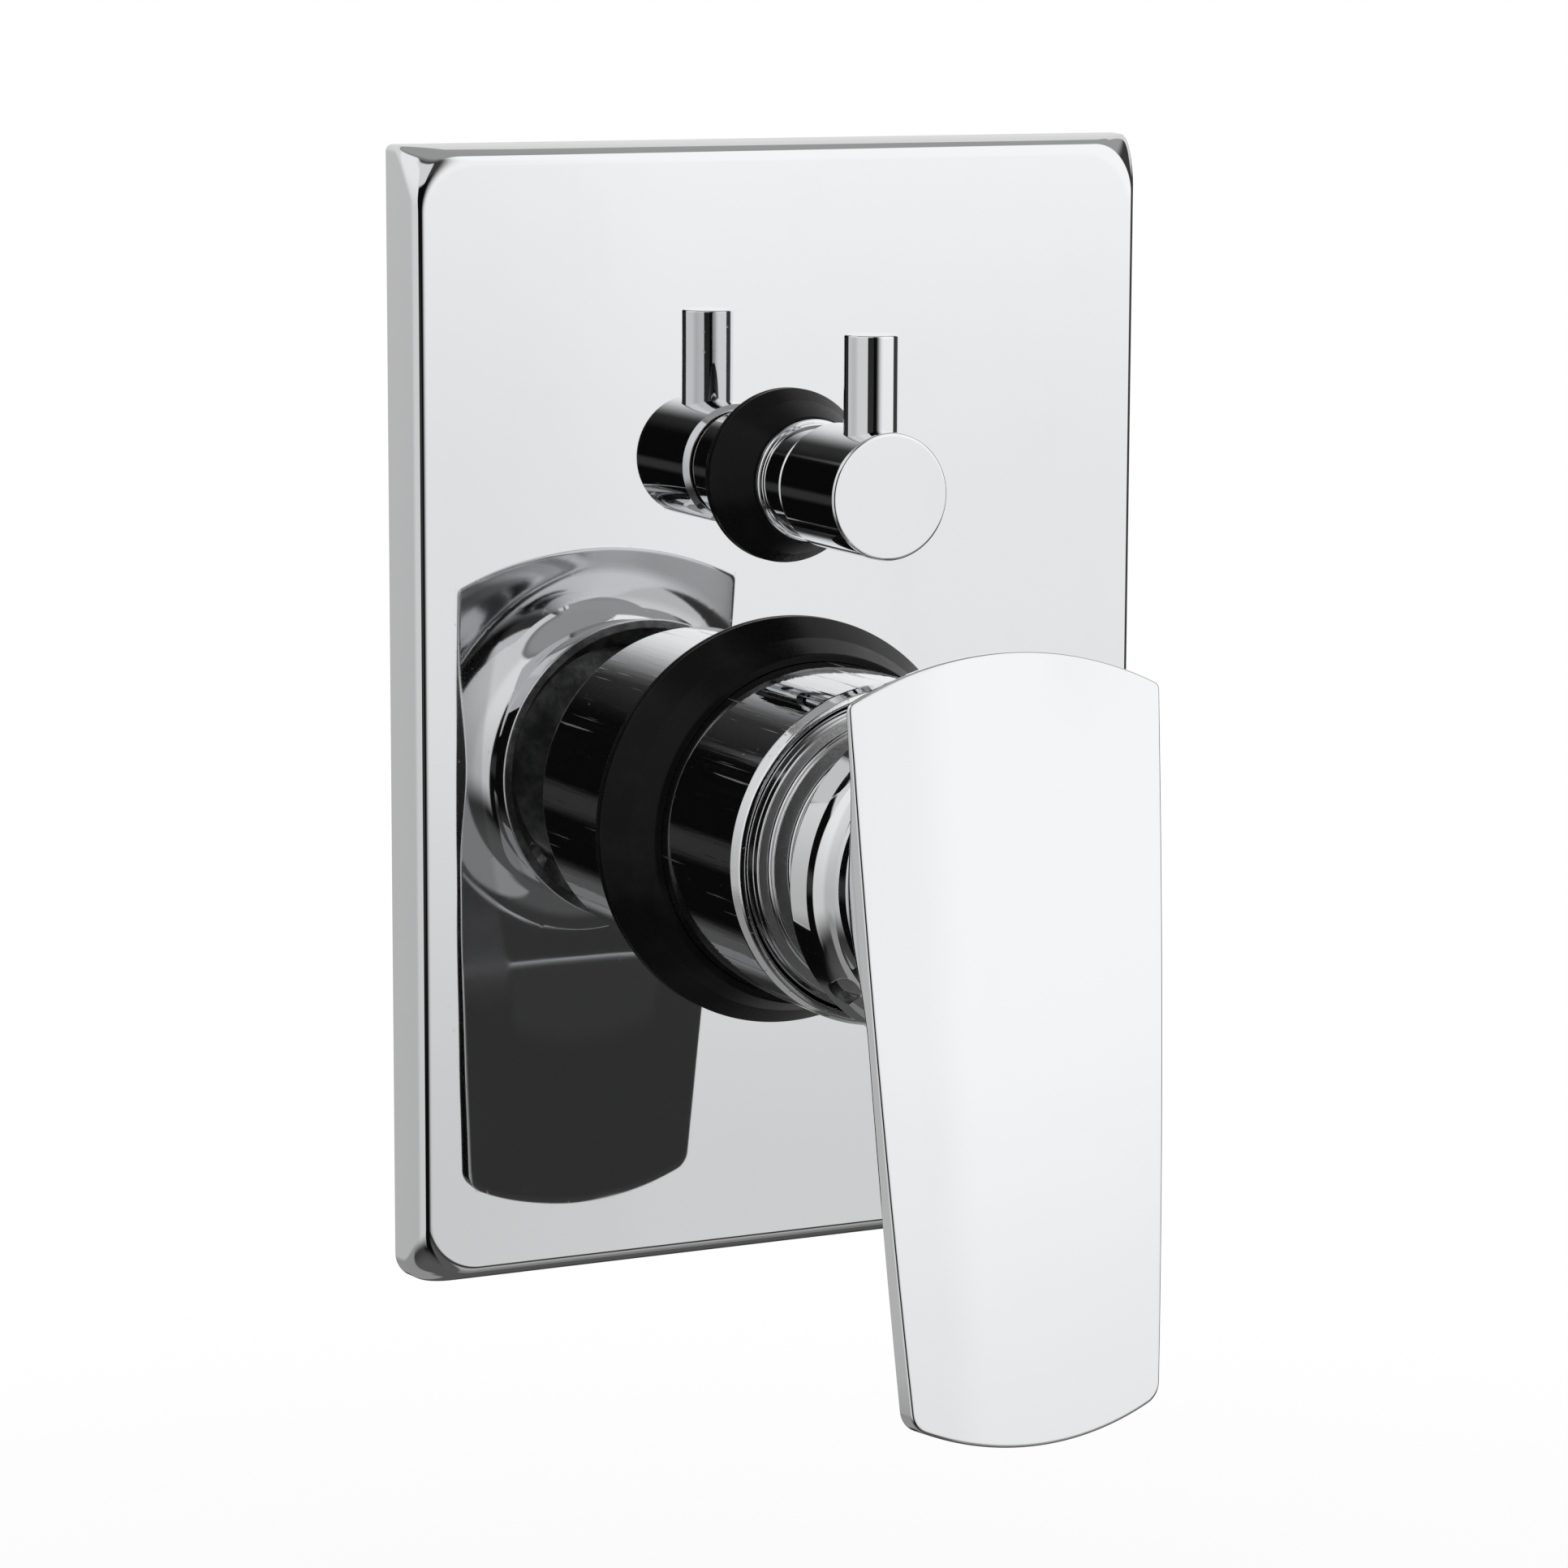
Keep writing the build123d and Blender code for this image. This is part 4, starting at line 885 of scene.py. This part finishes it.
def lever_mesh(sizes):
    """The lever as one closed skin: face, edge, back, blend, cup, hollow and spindle socket."""
    form = LeverForm(sizes)
    outline = paddle_outline(sizes)
    count = len(outline)
    bm = bmesh.new()
    # Layer for rough cast metal and painted shade: 1 in the cup's hollow, up to 0.3 on the flat back.
    layer = bm.verts.layers.float.new("as_cast")
    heart = Vector((0, -24.0))

    def face_ring(share):
        def where(index):
            point = heart + (outline[index] - heart) * share
            return form.front(point.x, point.y)

        return where

    edges = [form.dropped(point.x, point.y) for point in outline]
    back_steps = 46
    paths = [form.back_path(edge, back_steps) for edge in edges]
    fronts = [form.front(point.x, point.y) for point in outline]
    inward = []
    for index in range(count):
        along = outline[(index + 1) % count] - outline[index - 1]
        inward.append(Vector((along.y, -along.x)).normalized())
    depths = [(edges[index] - fronts[index]).length for index in range(count)]
    rounds = [min(sizes.edge_round, 0.42 * depth) for depth in depths]
    heels = [min(0.3, 0.25 * depth) for depth in depths]

    def rounded(angle):
        """Station on the round between the face, at 0, and the wall, at a right angle."""

        def where(index):
            radius = rounds[index]
            point = outline[index] + inward[index] * radius * (1 - math.sin(angle))
            return form.front(point.x, point.y) - form.normal * radius * (1 - math.cos(angle))

        return where

    def walled(share):
        def where(index):
            start, end = rounds[index], depths[index] - heels[index]
            return fronts[index] - form.normal * (start + (end - start) * share)

        return where

    def heel(share):
        def where(index):
            above = edges[index] + form.normal * heels[index]
            step = paths[index][0] - edges[index]
            beside = edges[index] + step.normalized() * min(heels[index], step.length * 0.6)
            return above.lerp(edges[index], share).lerp(edges[index].lerp(beside, share), share)

        return where

    def held(index):
        point = outline[index] + inward[index] * (rounds[index] + 0.25)
        return form.front(point.x, point.y)

    ring = ring_of(bm, count, rounded(0.0))
    inner = next_ring(bm, ring, held)
    for share in (0.95, 0.88, 0.78, 0.66, 0.52, 0.38, 0.24, 0.1):
        inner = next_ring(bm, inner, face_ring(share))
    bmesh.ops.contextual_create(bm, geom=loop_edges(bm, inner))
    for step in range(1, 6):
        ring = next_ring(bm, ring, rounded(math.pi / 2 * step / 5))
    for share in (0.08, 0.5, 0.92, 1.0):
        ring = next_ring(bm, ring, walled(share))
    for share in (0.33, 0.67, 1.0):
        ring = next_ring(bm, ring, heel(share))
    for step in range(back_steps):
        ring = next_ring(bm, ring, lambda index, step=step: paths[index][step])
        # The flat back gets a low value in the layer: a little rougher than the blend into the cup, and painted
        # darker as shade.
        for vert in ring:
            vert[layer] = 0.3 * max(0.0, min(1.0, (17 - step) / 7))

    headings = [math.atan2(edge.y, edge.x) for edge in edges]

    def circle(radius, out):
        return lambda index: Vector((radius * math.cos(headings[index]), radius * math.sin(headings[index]), out))

    shoulder_radius = sizes.cup_radius - 0.6
    shoulder_out, waist_out = form.level(0.2), form.level(0.365)
    drop, rise = shoulder_radius - form.waist, waist_out - shoulder_out
    bend = (drop * drop + rise * rise) / (2 * drop)
    swing = math.asin(rise / bend)
    ring = next_ring(bm, ring, circle(form.waist, waist_out + 1.0))
    for step in range(9):
        angle = swing * step / 8
        radius = form.waist + bend * (1 - math.cos(angle))
        ring = next_ring(bm, ring, circle(radius, waist_out - bend * math.sin(angle)))
    rim_level = form.level(0)
    wall, boss = 1.8, 8.5
    socket_half, socket_back, socket_floor = 4.1, 66.0, 80.3
    profile = softened(
        [
            (shoulder_radius, shoulder_out, 0.0),
            (sizes.cup_radius, rim_level, 0.25),
            (sizes.cup_radius - wall, rim_level, 0.25),
            (shoulder_radius - wall, shoulder_out, 0.0),
            (form.waist - wall, waist_out - wall, 0.0),
            (form.waist - 2 * wall, form.level(0.75), wall),
            (boss, form.level(0.75), wall),
            (boss, socket_back, 0.3),
            (socket_half, socket_back, 0.0),
        ],
        4,
    )
    cast_and_shaded_rings = []
    for radius, out in profile[1:-1]:
        ring = next_ring(bm, ring, circle(radius, out))
        cast_and_shaded_rings.append(ring)

    def socket(out):
        def where(index):
            cosine, sine = math.cos(headings[index]), math.sin(headings[index])
            reach = socket_half / max(abs(cosine), abs(sine))
            return Vector((reach * cosine, reach * sine, out))

        return where

    ring = next_ring(bm, ring, socket(socket_back))
    ring = next_ring(bm, ring, socket(socket_floor))
    bmesh.ops.contextual_create(bm, geom=loop_edges(bm, ring))

    # Rings of the cup's hollow get the full layer value: rough cast metal, painted near black as shade.
    for ring in cast_and_shaded_rings:
        for vert in ring:
            if math.hypot(vert.co.x, vert.co.y) < sizes.cup_radius - 0.2:
                vert[layer] = 1.0
    bmesh.ops.translate(bm, vec=(0, MIXER_Y, 0), verts=bm.verts)
    return bm


class MIXER_OT_plate(bpy.types.Operator):
    """Make the chrome wall plate with its sharp back corners and round front"""

    bl_idname = "mixer.plate"
    bl_label = "Wall Plate"

    def execute(self, context):
        bm = plate_mesh(context.scene.mixer_plate, context.scene.mixer_barrels)
        finished(bm, "plate_shell", finish("polished_chrome"), "valve", ["wall_plate"])
        return {"FINISHED"}


def seal_profile(plate, grip, radius, edge, crest_radius, crest, height, lip):
    """Seal on a tube of radius grip: out from the plate to its edge, over a crest and up to a lip."""
    inner = grip + 0.05
    spigot = inner + 1.5
    face = plate.depth + 0.05
    low = plate.depth - plate.wall
    rounding = 0.55 if lip > 1 else 0.35
    return softened(
        [
            (inner, low, 0.0),
            (spigot, low, 0.0),
            (spigot, face, 0.0),
            (radius, face, 0.25),
            (radius, face + edge, rounding * 1.6),
            (crest_radius, face + crest, rounding * 1.6),
            (inner + lip, face + height, rounding),
            (inner, face + height, 0.15),
        ],
        5,
        0.1,
    )


class MIXER_OT_seals(bpy.types.Operator):
    """Make both rubber seals that climb the sleeve and the collar"""

    bl_idname = "mixer.seals"
    bl_label = "Rubber Seals"

    def execute(self, context):
        plate, barrels = context.scene.mixer_plate, context.scene.mixer_barrels
        rubber = finish("black_rubber")
        bm = bmesh.new()
        large = {"radius": 36.8, "edge": 1.0, "crest_radius": 33.6, "crest": 6.4, "height": 11.8, "lip": 1.3}
        spun(bm, seal_profile(plate, barrels.sleeve_radius, **large), MIXER_Y)
        finished(bm, "sleeve_seal", rubber, "valve", ["mixer_seal_ring"])
        bm = bmesh.new()
        small = {"radius": 15.5, "edge": 0.9, "crest_radius": 13.6, "crest": 4.2, "height": 9.2, "lip": 0.9}
        spun(bm, seal_profile(plate, barrels.collar_radius, **small), DIVERTER_Y, 160)
        finished(bm, "collar_seal", rubber, "valve", ["diverter_seal_ring"])
        return {"FINISHED"}


class MIXER_OT_sleeve(bpy.types.Operator):
    """Make the chrome sleeve with its thick front lip, and the stepped bonnet inside it"""

    bl_idname = "mixer.sleeve"
    bl_label = "Sleeve and Bonnet"

    def execute(self, context):
        sizes = context.scene.mixer_barrels
        radius, front = sizes.sleeve_radius, sizes.sleeve_front
        bm = bmesh.new()
        profile = softened(
            [
                (radius, sizes.sleeve_back, 0.2),
                (radius, front - 2.2, 1.2),
                (radius - 0.75, front - 0.4, 0.7),
                (radius - 1.9, front, 0.35),
                (radius - 1.9, front - 3.0, 0.15),
                (radius - 1.3, front - 3.0, 0.1),
                (radius - 1.3, sizes.sleeve_back, 0.2),
            ],
            8,
        )
        spun(bm, profile, MIXER_Y, 320)
        chrome = finish("drawn_chrome")
        finished(bm, "sleeve_tube", chrome, "valve", ["mixer_sleeve"])
        bm = bmesh.new()
        profile = softened(
            [
                (25.05, 42.0, 0.0),
                (27.5, 42.0, 0.2),
                (27.5, 50.6, 0.3),
                (26.4, 50.6, 0.12),
                (26.4, 52.3, 0.25),
                (24.4, 52.8, 0.12),
                (24.4, 54.2, 0.25),
                (21.5, 54.7, 0.12),
                (21.5, 56.0, 0.3),
                (14.0, 59.2, 0.4),
                (11.5, 59.2, 0.25),
                (11.5, 57.2, 0.2),
                (14.0, 57.2, 0.2),
                (19.93, 53.3, 0.2),
                (25.05, 50.3, 0.2),
            ],
            4,
            0.08,
        )
        spun(bm, profile, MIXER_Y, 256)
        banded = finish("banded_chrome")
        finished(bm, "bonnet_steps", banded, "valve", ["bonnet_ring"])
        return {"FINISHED"}


class MIXER_OT_collar(bpy.types.Operator):
    """Make the diverter's chrome collar with its bead"""

    bl_idname = "mixer.collar"
    bl_label = "Diverter Collar"

    def execute(self, context):
        sizes = context.scene.mixer_barrels
        radius, front = sizes.collar_radius, sizes.collar_front
        bm = bmesh.new()
        profile = softened(
            [
                (radius, 2.0, 0.15),
                (radius, 19.1, 0.12),
                (radius + 0.7, 19.1, 0.34),
                (radius + 0.7, 20.5, 0.34),
                (radius, 20.5, 0.12),
                (radius, front, 0.4),
                (radius - 0.8, front, 0.15),
                (radius - 0.8, 2.0, 0.15),
            ],
            5,
            0.08,
        )
        spun(bm, profile, DIVERTER_Y, 192)
        chrome = finish("polished_chrome")
        finished(bm, "collar_tube", chrome, "valve", ["diverter_collar"])
        return {"FINISHED"}


def drilled(piece, cutters):
    """Cuts rods out of a piece whose object sits at the origin, and keeps the result as its mesh."""
    for cutter in cutters:
        cut = piece.modifiers.new("hole", "BOOLEAN")
        cut.operation = "DIFFERENCE"
        cut.solver = "EXACT"
        cut.object = cutter
    graph = bpy.context.evaluated_depsgraph_get()
    mesh = bpy.data.meshes.new_from_object(piece.evaluated_get(graph))
    piece.modifiers.clear()
    old = piece.data
    name = old.name
    piece.data = mesh
    bpy.data.meshes.remove(old)
    mesh.name = name
    for cutter in cutters:
        shape = cutter.data
        bpy.data.objects.remove(cutter)
        bpy.data.meshes.remove(shape)
    mesh.shade_smooth()
    mesh.set_sharp_from_angle(angle=math.radians(38))


def rod(radius, length, placed, segments=96):
    """A cutter: a rod along z from 0 to length, placed by a matrix in the drawing."""
    bm = bmesh.new()
    bmesh.ops.create_cone(
        bm, cap_ends=True, cap_tris=False, segments=segments, radius1=radius, radius2=radius, depth=length
    )
    bmesh.ops.translate(bm, vec=(0, 0, length / 2), verts=bm.verts)
    bmesh.ops.transform(bm, matrix=HANG @ placed, verts=bm.verts)
    mesh = bpy.data.meshes.new("rod")
    bm.to_mesh(mesh)
    bm.free()
    cutter = bpy.data.objects.new("rod", mesh)
    bpy.context.scene.collection.objects.link(cutter)
    return cutter


class MIXER_OT_knob(bpy.types.Operator):
    """Make the diverter's barrel knob and the pin that turns it"""

    bl_idname = "mixer.knob"
    bl_label = "Diverter Knob and Pin"

    def execute(self, context):
        sizes = context.scene.mixer_barrels
        chrome = finish("polished_chrome")
        back, front, radius = sizes.knob_back, sizes.knob_front, sizes.knob_radius
        bm = bmesh.new()
        profile = softened(
            [
                (0, 41.9, 0.0),
                (4.1, 41.9, 0.0),
                (4.1, back, 0.2),
                (radius - 0.9, back, 0.15),
                (radius, back + 0.9, 0.15),
                (radius, front, 0.5),
                (0, front, 0.0),
            ],
            7,
            0.14,
        )
        spun(bm, profile, DIVERTER_Y, 224)
        knob = finished(bm, "knob_barrel", chrome, "diverter_rotor", ["diverter_knob"])
        pin_out = front - 7.5
        upward = Matrix.Rotation(math.radians(-90), 4, "X")
        seat = Matrix.Translation((0, DIVERTER_Y + 8.5, pin_out)) @ upward
        stub = Matrix.Translation((0, DIVERTER_Y + 3.0, pin_out)) @ upward
        screw = Matrix.Translation((0, DIVERTER_Y - 3.3, back + 7.0)) @ upward.inverted()
        drilled(
            knob,
            [
                rod(sizes.pin_radius + 0.025, 20.0, seat),
                rod(2.525, 6.5, stub),
                rod(2.025, 12.0, screw),
            ],
        )
        bm = bmesh.new()
        profile = softened(
            [
                (0, 4.4, 0.0),
                (2.5, 4.4, 0.2),
                (2.5, 8.5, 0.0),
                (sizes.pin_radius, 8.5, 0.15),
                (sizes.pin_radius, sizes.pin_reach, 0.35),
                (0, sizes.pin_reach, 0.0),
            ],
            6,
            0.12,
        )
        spun(bm, profile, 0.0, 128)
        up = Matrix.Translation((0, DIVERTER_Y, pin_out)) @ upward
        bmesh.ops.transform(bm, matrix=up, verts=bm.verts)
        finished(bm, "knob_pin", chrome, "diverter_rotor", ["diverter_pin"])
        return {"FINISHED"}


class MIXER_OT_lever(bpy.types.Operator):
    """Make the lever handle, a round cup that flows into a tapered paddle"""

    bl_idname = "mixer.lever"
    bl_label = "Lever Handle"

    def execute(self, context):
        bm = lever_mesh(context.scene.mixer_lever)
        chrome = finish("lever_chrome")
        lever = finished(bm, "lever_casting", chrome, "lever", ["lever_handle"], 50.0)
        turn = Matrix.Rotation(SCREW_HEADING, 4, "Z") @ Matrix.Translation((4.0, 0, 0))
        level = Matrix.Translation((0, MIXER_Y, SCREW_OUT))
        outward = level @ turn @ Matrix.Rotation(math.radians(90), 4, "Y")
        drilled(lever, [rod(2.55, 30.0, outward, 64)])
        return {"FINISHED"}


NODE_FINISHES = {
    "valve_body": "brass_body",
    "wall_gasket": "gasket_foam",
    "cartridge_nut": "turned_brass",
    "diverter_headwork": "turned_brass",
    "diverter_spindle": "turned_brass",
    "pivot_pin": "turned_steel",
    "lever_spindle": "turned_steel",
    "diverter_circlip": "turned_steel",
    "lever_grub_screw": "blackened_steel",
    "knob_grub_screw": "blackened_steel",
    "cartridge_base": "cartridge_plastic",
    "cartridge_housing": "cartridge_plastic",
    "disc_carrier": "cartridge_plastic",
    "spindle_guide": "cartridge_plastic",
    "fixed_disc": "ceramic_disc",
    "moving_disc": "ceramic_disc",
    "diverter_fixed_disc": "ceramic_disc",
    "diverter_moving_disc": "ceramic_disc",
    "sleeve_o_ring": "black_rubber",
    "collar_o_ring": "black_rubber",
    "cartridge_seals": "black_rubber",
    "diverter_seat_seal": "black_rubber",
    "diverter_spindle_o_ring": "black_rubber",
    "wall_plate": "polished_chrome",
    "mixer_sleeve": "drawn_chrome",
    "diverter_collar": "polished_chrome",
    "diverter_knob": "polished_chrome",
    "diverter_pin": "polished_chrome",
    "bonnet_ring": "banded_chrome",
    "lever_handle": "polished_chrome",
    "mixer_seal_ring": "black_rubber",
    "diverter_seal_ring": "black_rubber",
}


class MIXER_OT_finishes(bpy.types.Operator):
    """Make the finishes and put them on the solids"""

    bl_idname = "mixer.finishes"
    bl_label = "Finishes"

    def execute(self, context):
        makers = (
            polished_chrome,
            drawn_chrome,
            banded_chrome,
            lever_chrome,
            black_rubber,
            brass_body,
            turned_brass,
            turned_steel,
            blackened_steel,
            cartridge_plastic,
            ceramic_disc,
            gasket_foam,
        )
        for maker in makers:
            maker()
        for node, name in NODE_FINISHES.items():
            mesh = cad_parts[node].data
            mesh.materials.clear()
            mesh.materials.append(finish(name))
        return {"FINISHED"}


# What the metal mirrors: panels of light in a dark room, each from left to right and low to high in
# degrees, with its soft edge and its brightness. Heading 0 faces the plate and grows to the right.
PANELS = (
    (-42, -20, 24, 50, 4, 0.72),
    (-36, -19, -9, -6, 4, 0.035),
    (-4, 19, -60, -26, 8, 0.1),
    (-188, -112, -75, -26, 8, 0.3),
    (172, 188, -75, -26, 6, 0.3),
    (70, 172, 30, 62, 8, 0.36),
    (112, 180, 5, 42, 2, 0.76),
)


def studio_light(paint):
    """Brightness of the studio by direction."""
    direction = paint.node("ShaderNodeTexCoord", {}, {}, "Generated")
    x, y, z = paint.axes(direction)
    heading = paint.angle(x, 0 - y) * (180 / math.pi)
    height = paint.node("ShaderNodeMath", {"operation": "ARCSINE"}, {0: z}) * (180 / math.pi)

    def panel(left, right, low, high, edge):
        return heading.between(left, right, edge) * height.between(low, high, edge)

    # A dark room, a little lighter at the floor and the ceiling, and darkest round the camera
    light = 0.045 + height.below(-60, -35) * 0.05 + height.above(52, 66) * 0.3
    light = light + (0.0035 - light) * panel(-54, -6, -34, 18, 12)
    # A wide pale wall on the left
    left = 0.5 + height.above(-18, 34) * 0.26 + heading.between(-78, -46, 24) * 0.16
    window = heading.between(-188, -43, 4) * height.above(-38, -17) * height.below(56, 60)
    light = light + (left - light) * window
    for *sides, brightness in PANELS:
        mask = panel(*sides)
        light = light + (brightness - light) * mask
    # The white card on the right that the plate and the lever's face mirror, and its dim foot
    fall = 1.08 - height.below(-7, 0) * 0.16 - height.below(-14, -7) * 0.2
    main = heading.above(-6, 22) * heading.below(78, 84) * height.between(-16, 60, 2)
    fall = fall * (1 - heading.below(22.5, 25.5) * 0.06)
    light = light + (fall - light) * main
    low = 0.46 - height.below(-50, -22) * 0.24
    return light + (low - light) * panel(19, 60, -58, -25, 3)


class MIXER_OT_studio(bpy.types.Operator):
    """Set up the camera, the floor, the lamp and the light of the room"""

    bl_idname = "mixer.studio"
    bl_label = "Studio"

    def execute(self, context):
        scene = context.scene
        scene.view_settings.view_transform = "Standard"
        lens = bpy.data.cameras.new("camera")
        lens.sensor_width = 36.0
        lens.lens = 119.744
        lens.clip_start, lens.clip_end = 0.05, 20.0
        camera = bpy.data.objects.new("camera", lens)
        camera.location = (-0.40973, -0.83550, 0.13719)
        camera.rotation_euler = [math.radians(angle) for angle in (80.65136, -0.20496, -26.34095)]
        scene.collection.objects.link(camera)
        scene.camera = camera

        bm = bmesh.new()
        bmesh.ops.create_circle(bm, cap_ends=True, radius=700.0, segments=96)
        bmesh.ops.rotate(bm, matrix=Matrix.Rotation(math.radians(-90), 3, "X"), verts=bm.verts)
        bmesh.ops.translate(bm, vec=(0, -260.0, 0), verts=bm.verts)
        bmesh.ops.transform(bm, matrix=HANG, verts=bm.verts)
        mesh = bpy.data.meshes.new("floor")
        bm.to_mesh(mesh)
        bm.free()
        floor = bpy.data.objects.new("floor", mesh)
        scene.collection.objects.link(floor)
        floor.visible_glossy = False
        material, paint = new_material("studio_floor")
        tone = paint.noise(3.0, 2.0, 0.5)
        pale = tuple(colours().floor)
        colour = paint.mixed(tone * 0.3, pale, shade(pale, 0.97))
        diffuse = paint.node("ShaderNodeBsdfDiffuse", {}, {"Color": colour})
        white = paint.node("ShaderNodeEmission", {}, {"Color": (1, 1, 1), "Strength": 1.0})
        seen = paint.node("ShaderNodeLightPath", {}, {}, "Is Camera Ray")
        x, y, _ = paint.axes(paint.place())
        rim = (x * x + y * y).root().above(0.25, 0.6)
        shader = paint.node("ShaderNodeMixShader", {}, {0: seen * (0.9 + rim * 0.1), 1: diffuse, 2: white})
        paint.node("ShaderNodeOutputMaterial", {}, {"Surface": shader})
        mesh.materials.append(material)

        world = bpy.data.worlds.new("studio")
        scene.world = world
        paint = Paint(world)
        light = studio_light(paint)
        seen = paint.node("ShaderNodeLightPath", {}, {}, "Is Camera Ray")
        through = paint.node("ShaderNodeLightPath", {}, {}, "Is Transmission Ray")
        glossy = paint.node("ShaderNodeLightPath", {}, {}, "Is Glossy Ray")
        mirrored = paint.node("ShaderNodeBackground", {}, {"Color": (1, 1, 1), "Strength": light})
        plain = paint.node("ShaderNodeBackground", {}, {"Color": (1, 1, 1), "Strength": 0.72})
        backdrop = paint.node("ShaderNodeBackground", {}, {"Color": (1, 1, 1), "Strength": 1.0})
        room = paint.node("ShaderNodeMixShader", {}, {0: glossy, 1: plain, 2: mirrored})
        shader = paint.node("ShaderNodeMixShader", {}, {0: (seen + through).clamped(), 1: room, 2: backdrop})
        paint.node("ShaderNodeOutputWorld", {}, {"Surface": shader})

        lamp = bpy.data.lights.new("soft_lamp", "AREA")
        lamp.shape = "RECTANGLE"
        lamp.size, lamp.size_y = 0.9, 0.7
        lamp.energy = 6.0
        soft = bpy.data.objects.new("soft_lamp", lamp)
        soft.visible_glossy = False
        soft.location = (-0.5, -0.9, 0.9)
        aim = Vector((0, -0.03, 0)) - Vector(soft.location)
        soft.rotation_euler = aim.to_track_quat("-Z", "Y").to_euler()
        scene.collection.objects.link(soft)
        return {"FINISHED"}


STEPS = (
    MIXER_OT_finishes,
    MIXER_OT_plate,
    MIXER_OT_seals,
    MIXER_OT_sleeve,
    MIXER_OT_collar,
    MIXER_OT_knob,
    MIXER_OT_lever,
    MIXER_OT_studio,
)


class MIXER_PT_panel(bpy.types.Panel):
    """The mixer's sizes, colours and pieces"""

    bl_idname = "MIXER_PT_panel"
    bl_label = "Mixer"
    bl_space_type = "VIEW_3D"
    bl_region_type = "UI"
    bl_category = "Mixer"

    def draw(self, context):
        layout = self.layout
        for group in PROPERTIES:
            values = getattr(context.scene, group)
            column = layout.column(heading=group)
            for name in values.bl_rna.properties.keys():
                if name not in {"rna_type", "name"}:
                    column.prop(values, name)
        for step in STEPS:
            layout.operator(step.bl_idname)


PROPERTIES = {
    "mixer_plate": PlateSizes,
    "mixer_barrels": BarrelSizes,
    "mixer_lever": LeverSizes,
    "mixer_colours": MixerColours,
}


def register():
    for group, kind in PROPERTIES.items():
        bpy.utils.register_class(kind)
        setattr(bpy.types.Scene, group, bpy.props.PointerProperty(type=kind))
    for step in STEPS:
        bpy.utils.register_class(step)
    bpy.utils.register_class(MIXER_PT_panel)


def unregister():
    bpy.utils.unregister_class(MIXER_PT_panel)
    for step in reversed(STEPS):
        bpy.utils.unregister_class(step)
    for group, kind in PROPERTIES.items():
        delattr(bpy.types.Scene, group)
        bpy.utils.unregister_class(kind)


def main():
    register()
    bpy.ops.mixer.finishes()
    bpy.ops.mixer.plate()
    bpy.ops.mixer.seals()
    bpy.ops.mixer.sleeve()
    bpy.ops.mixer.collar()
    bpy.ops.mixer.knob()
    bpy.ops.mixer.lever()
    bpy.ops.mixer.studio()
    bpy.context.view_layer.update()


if __name__ == "__main__":
    main()
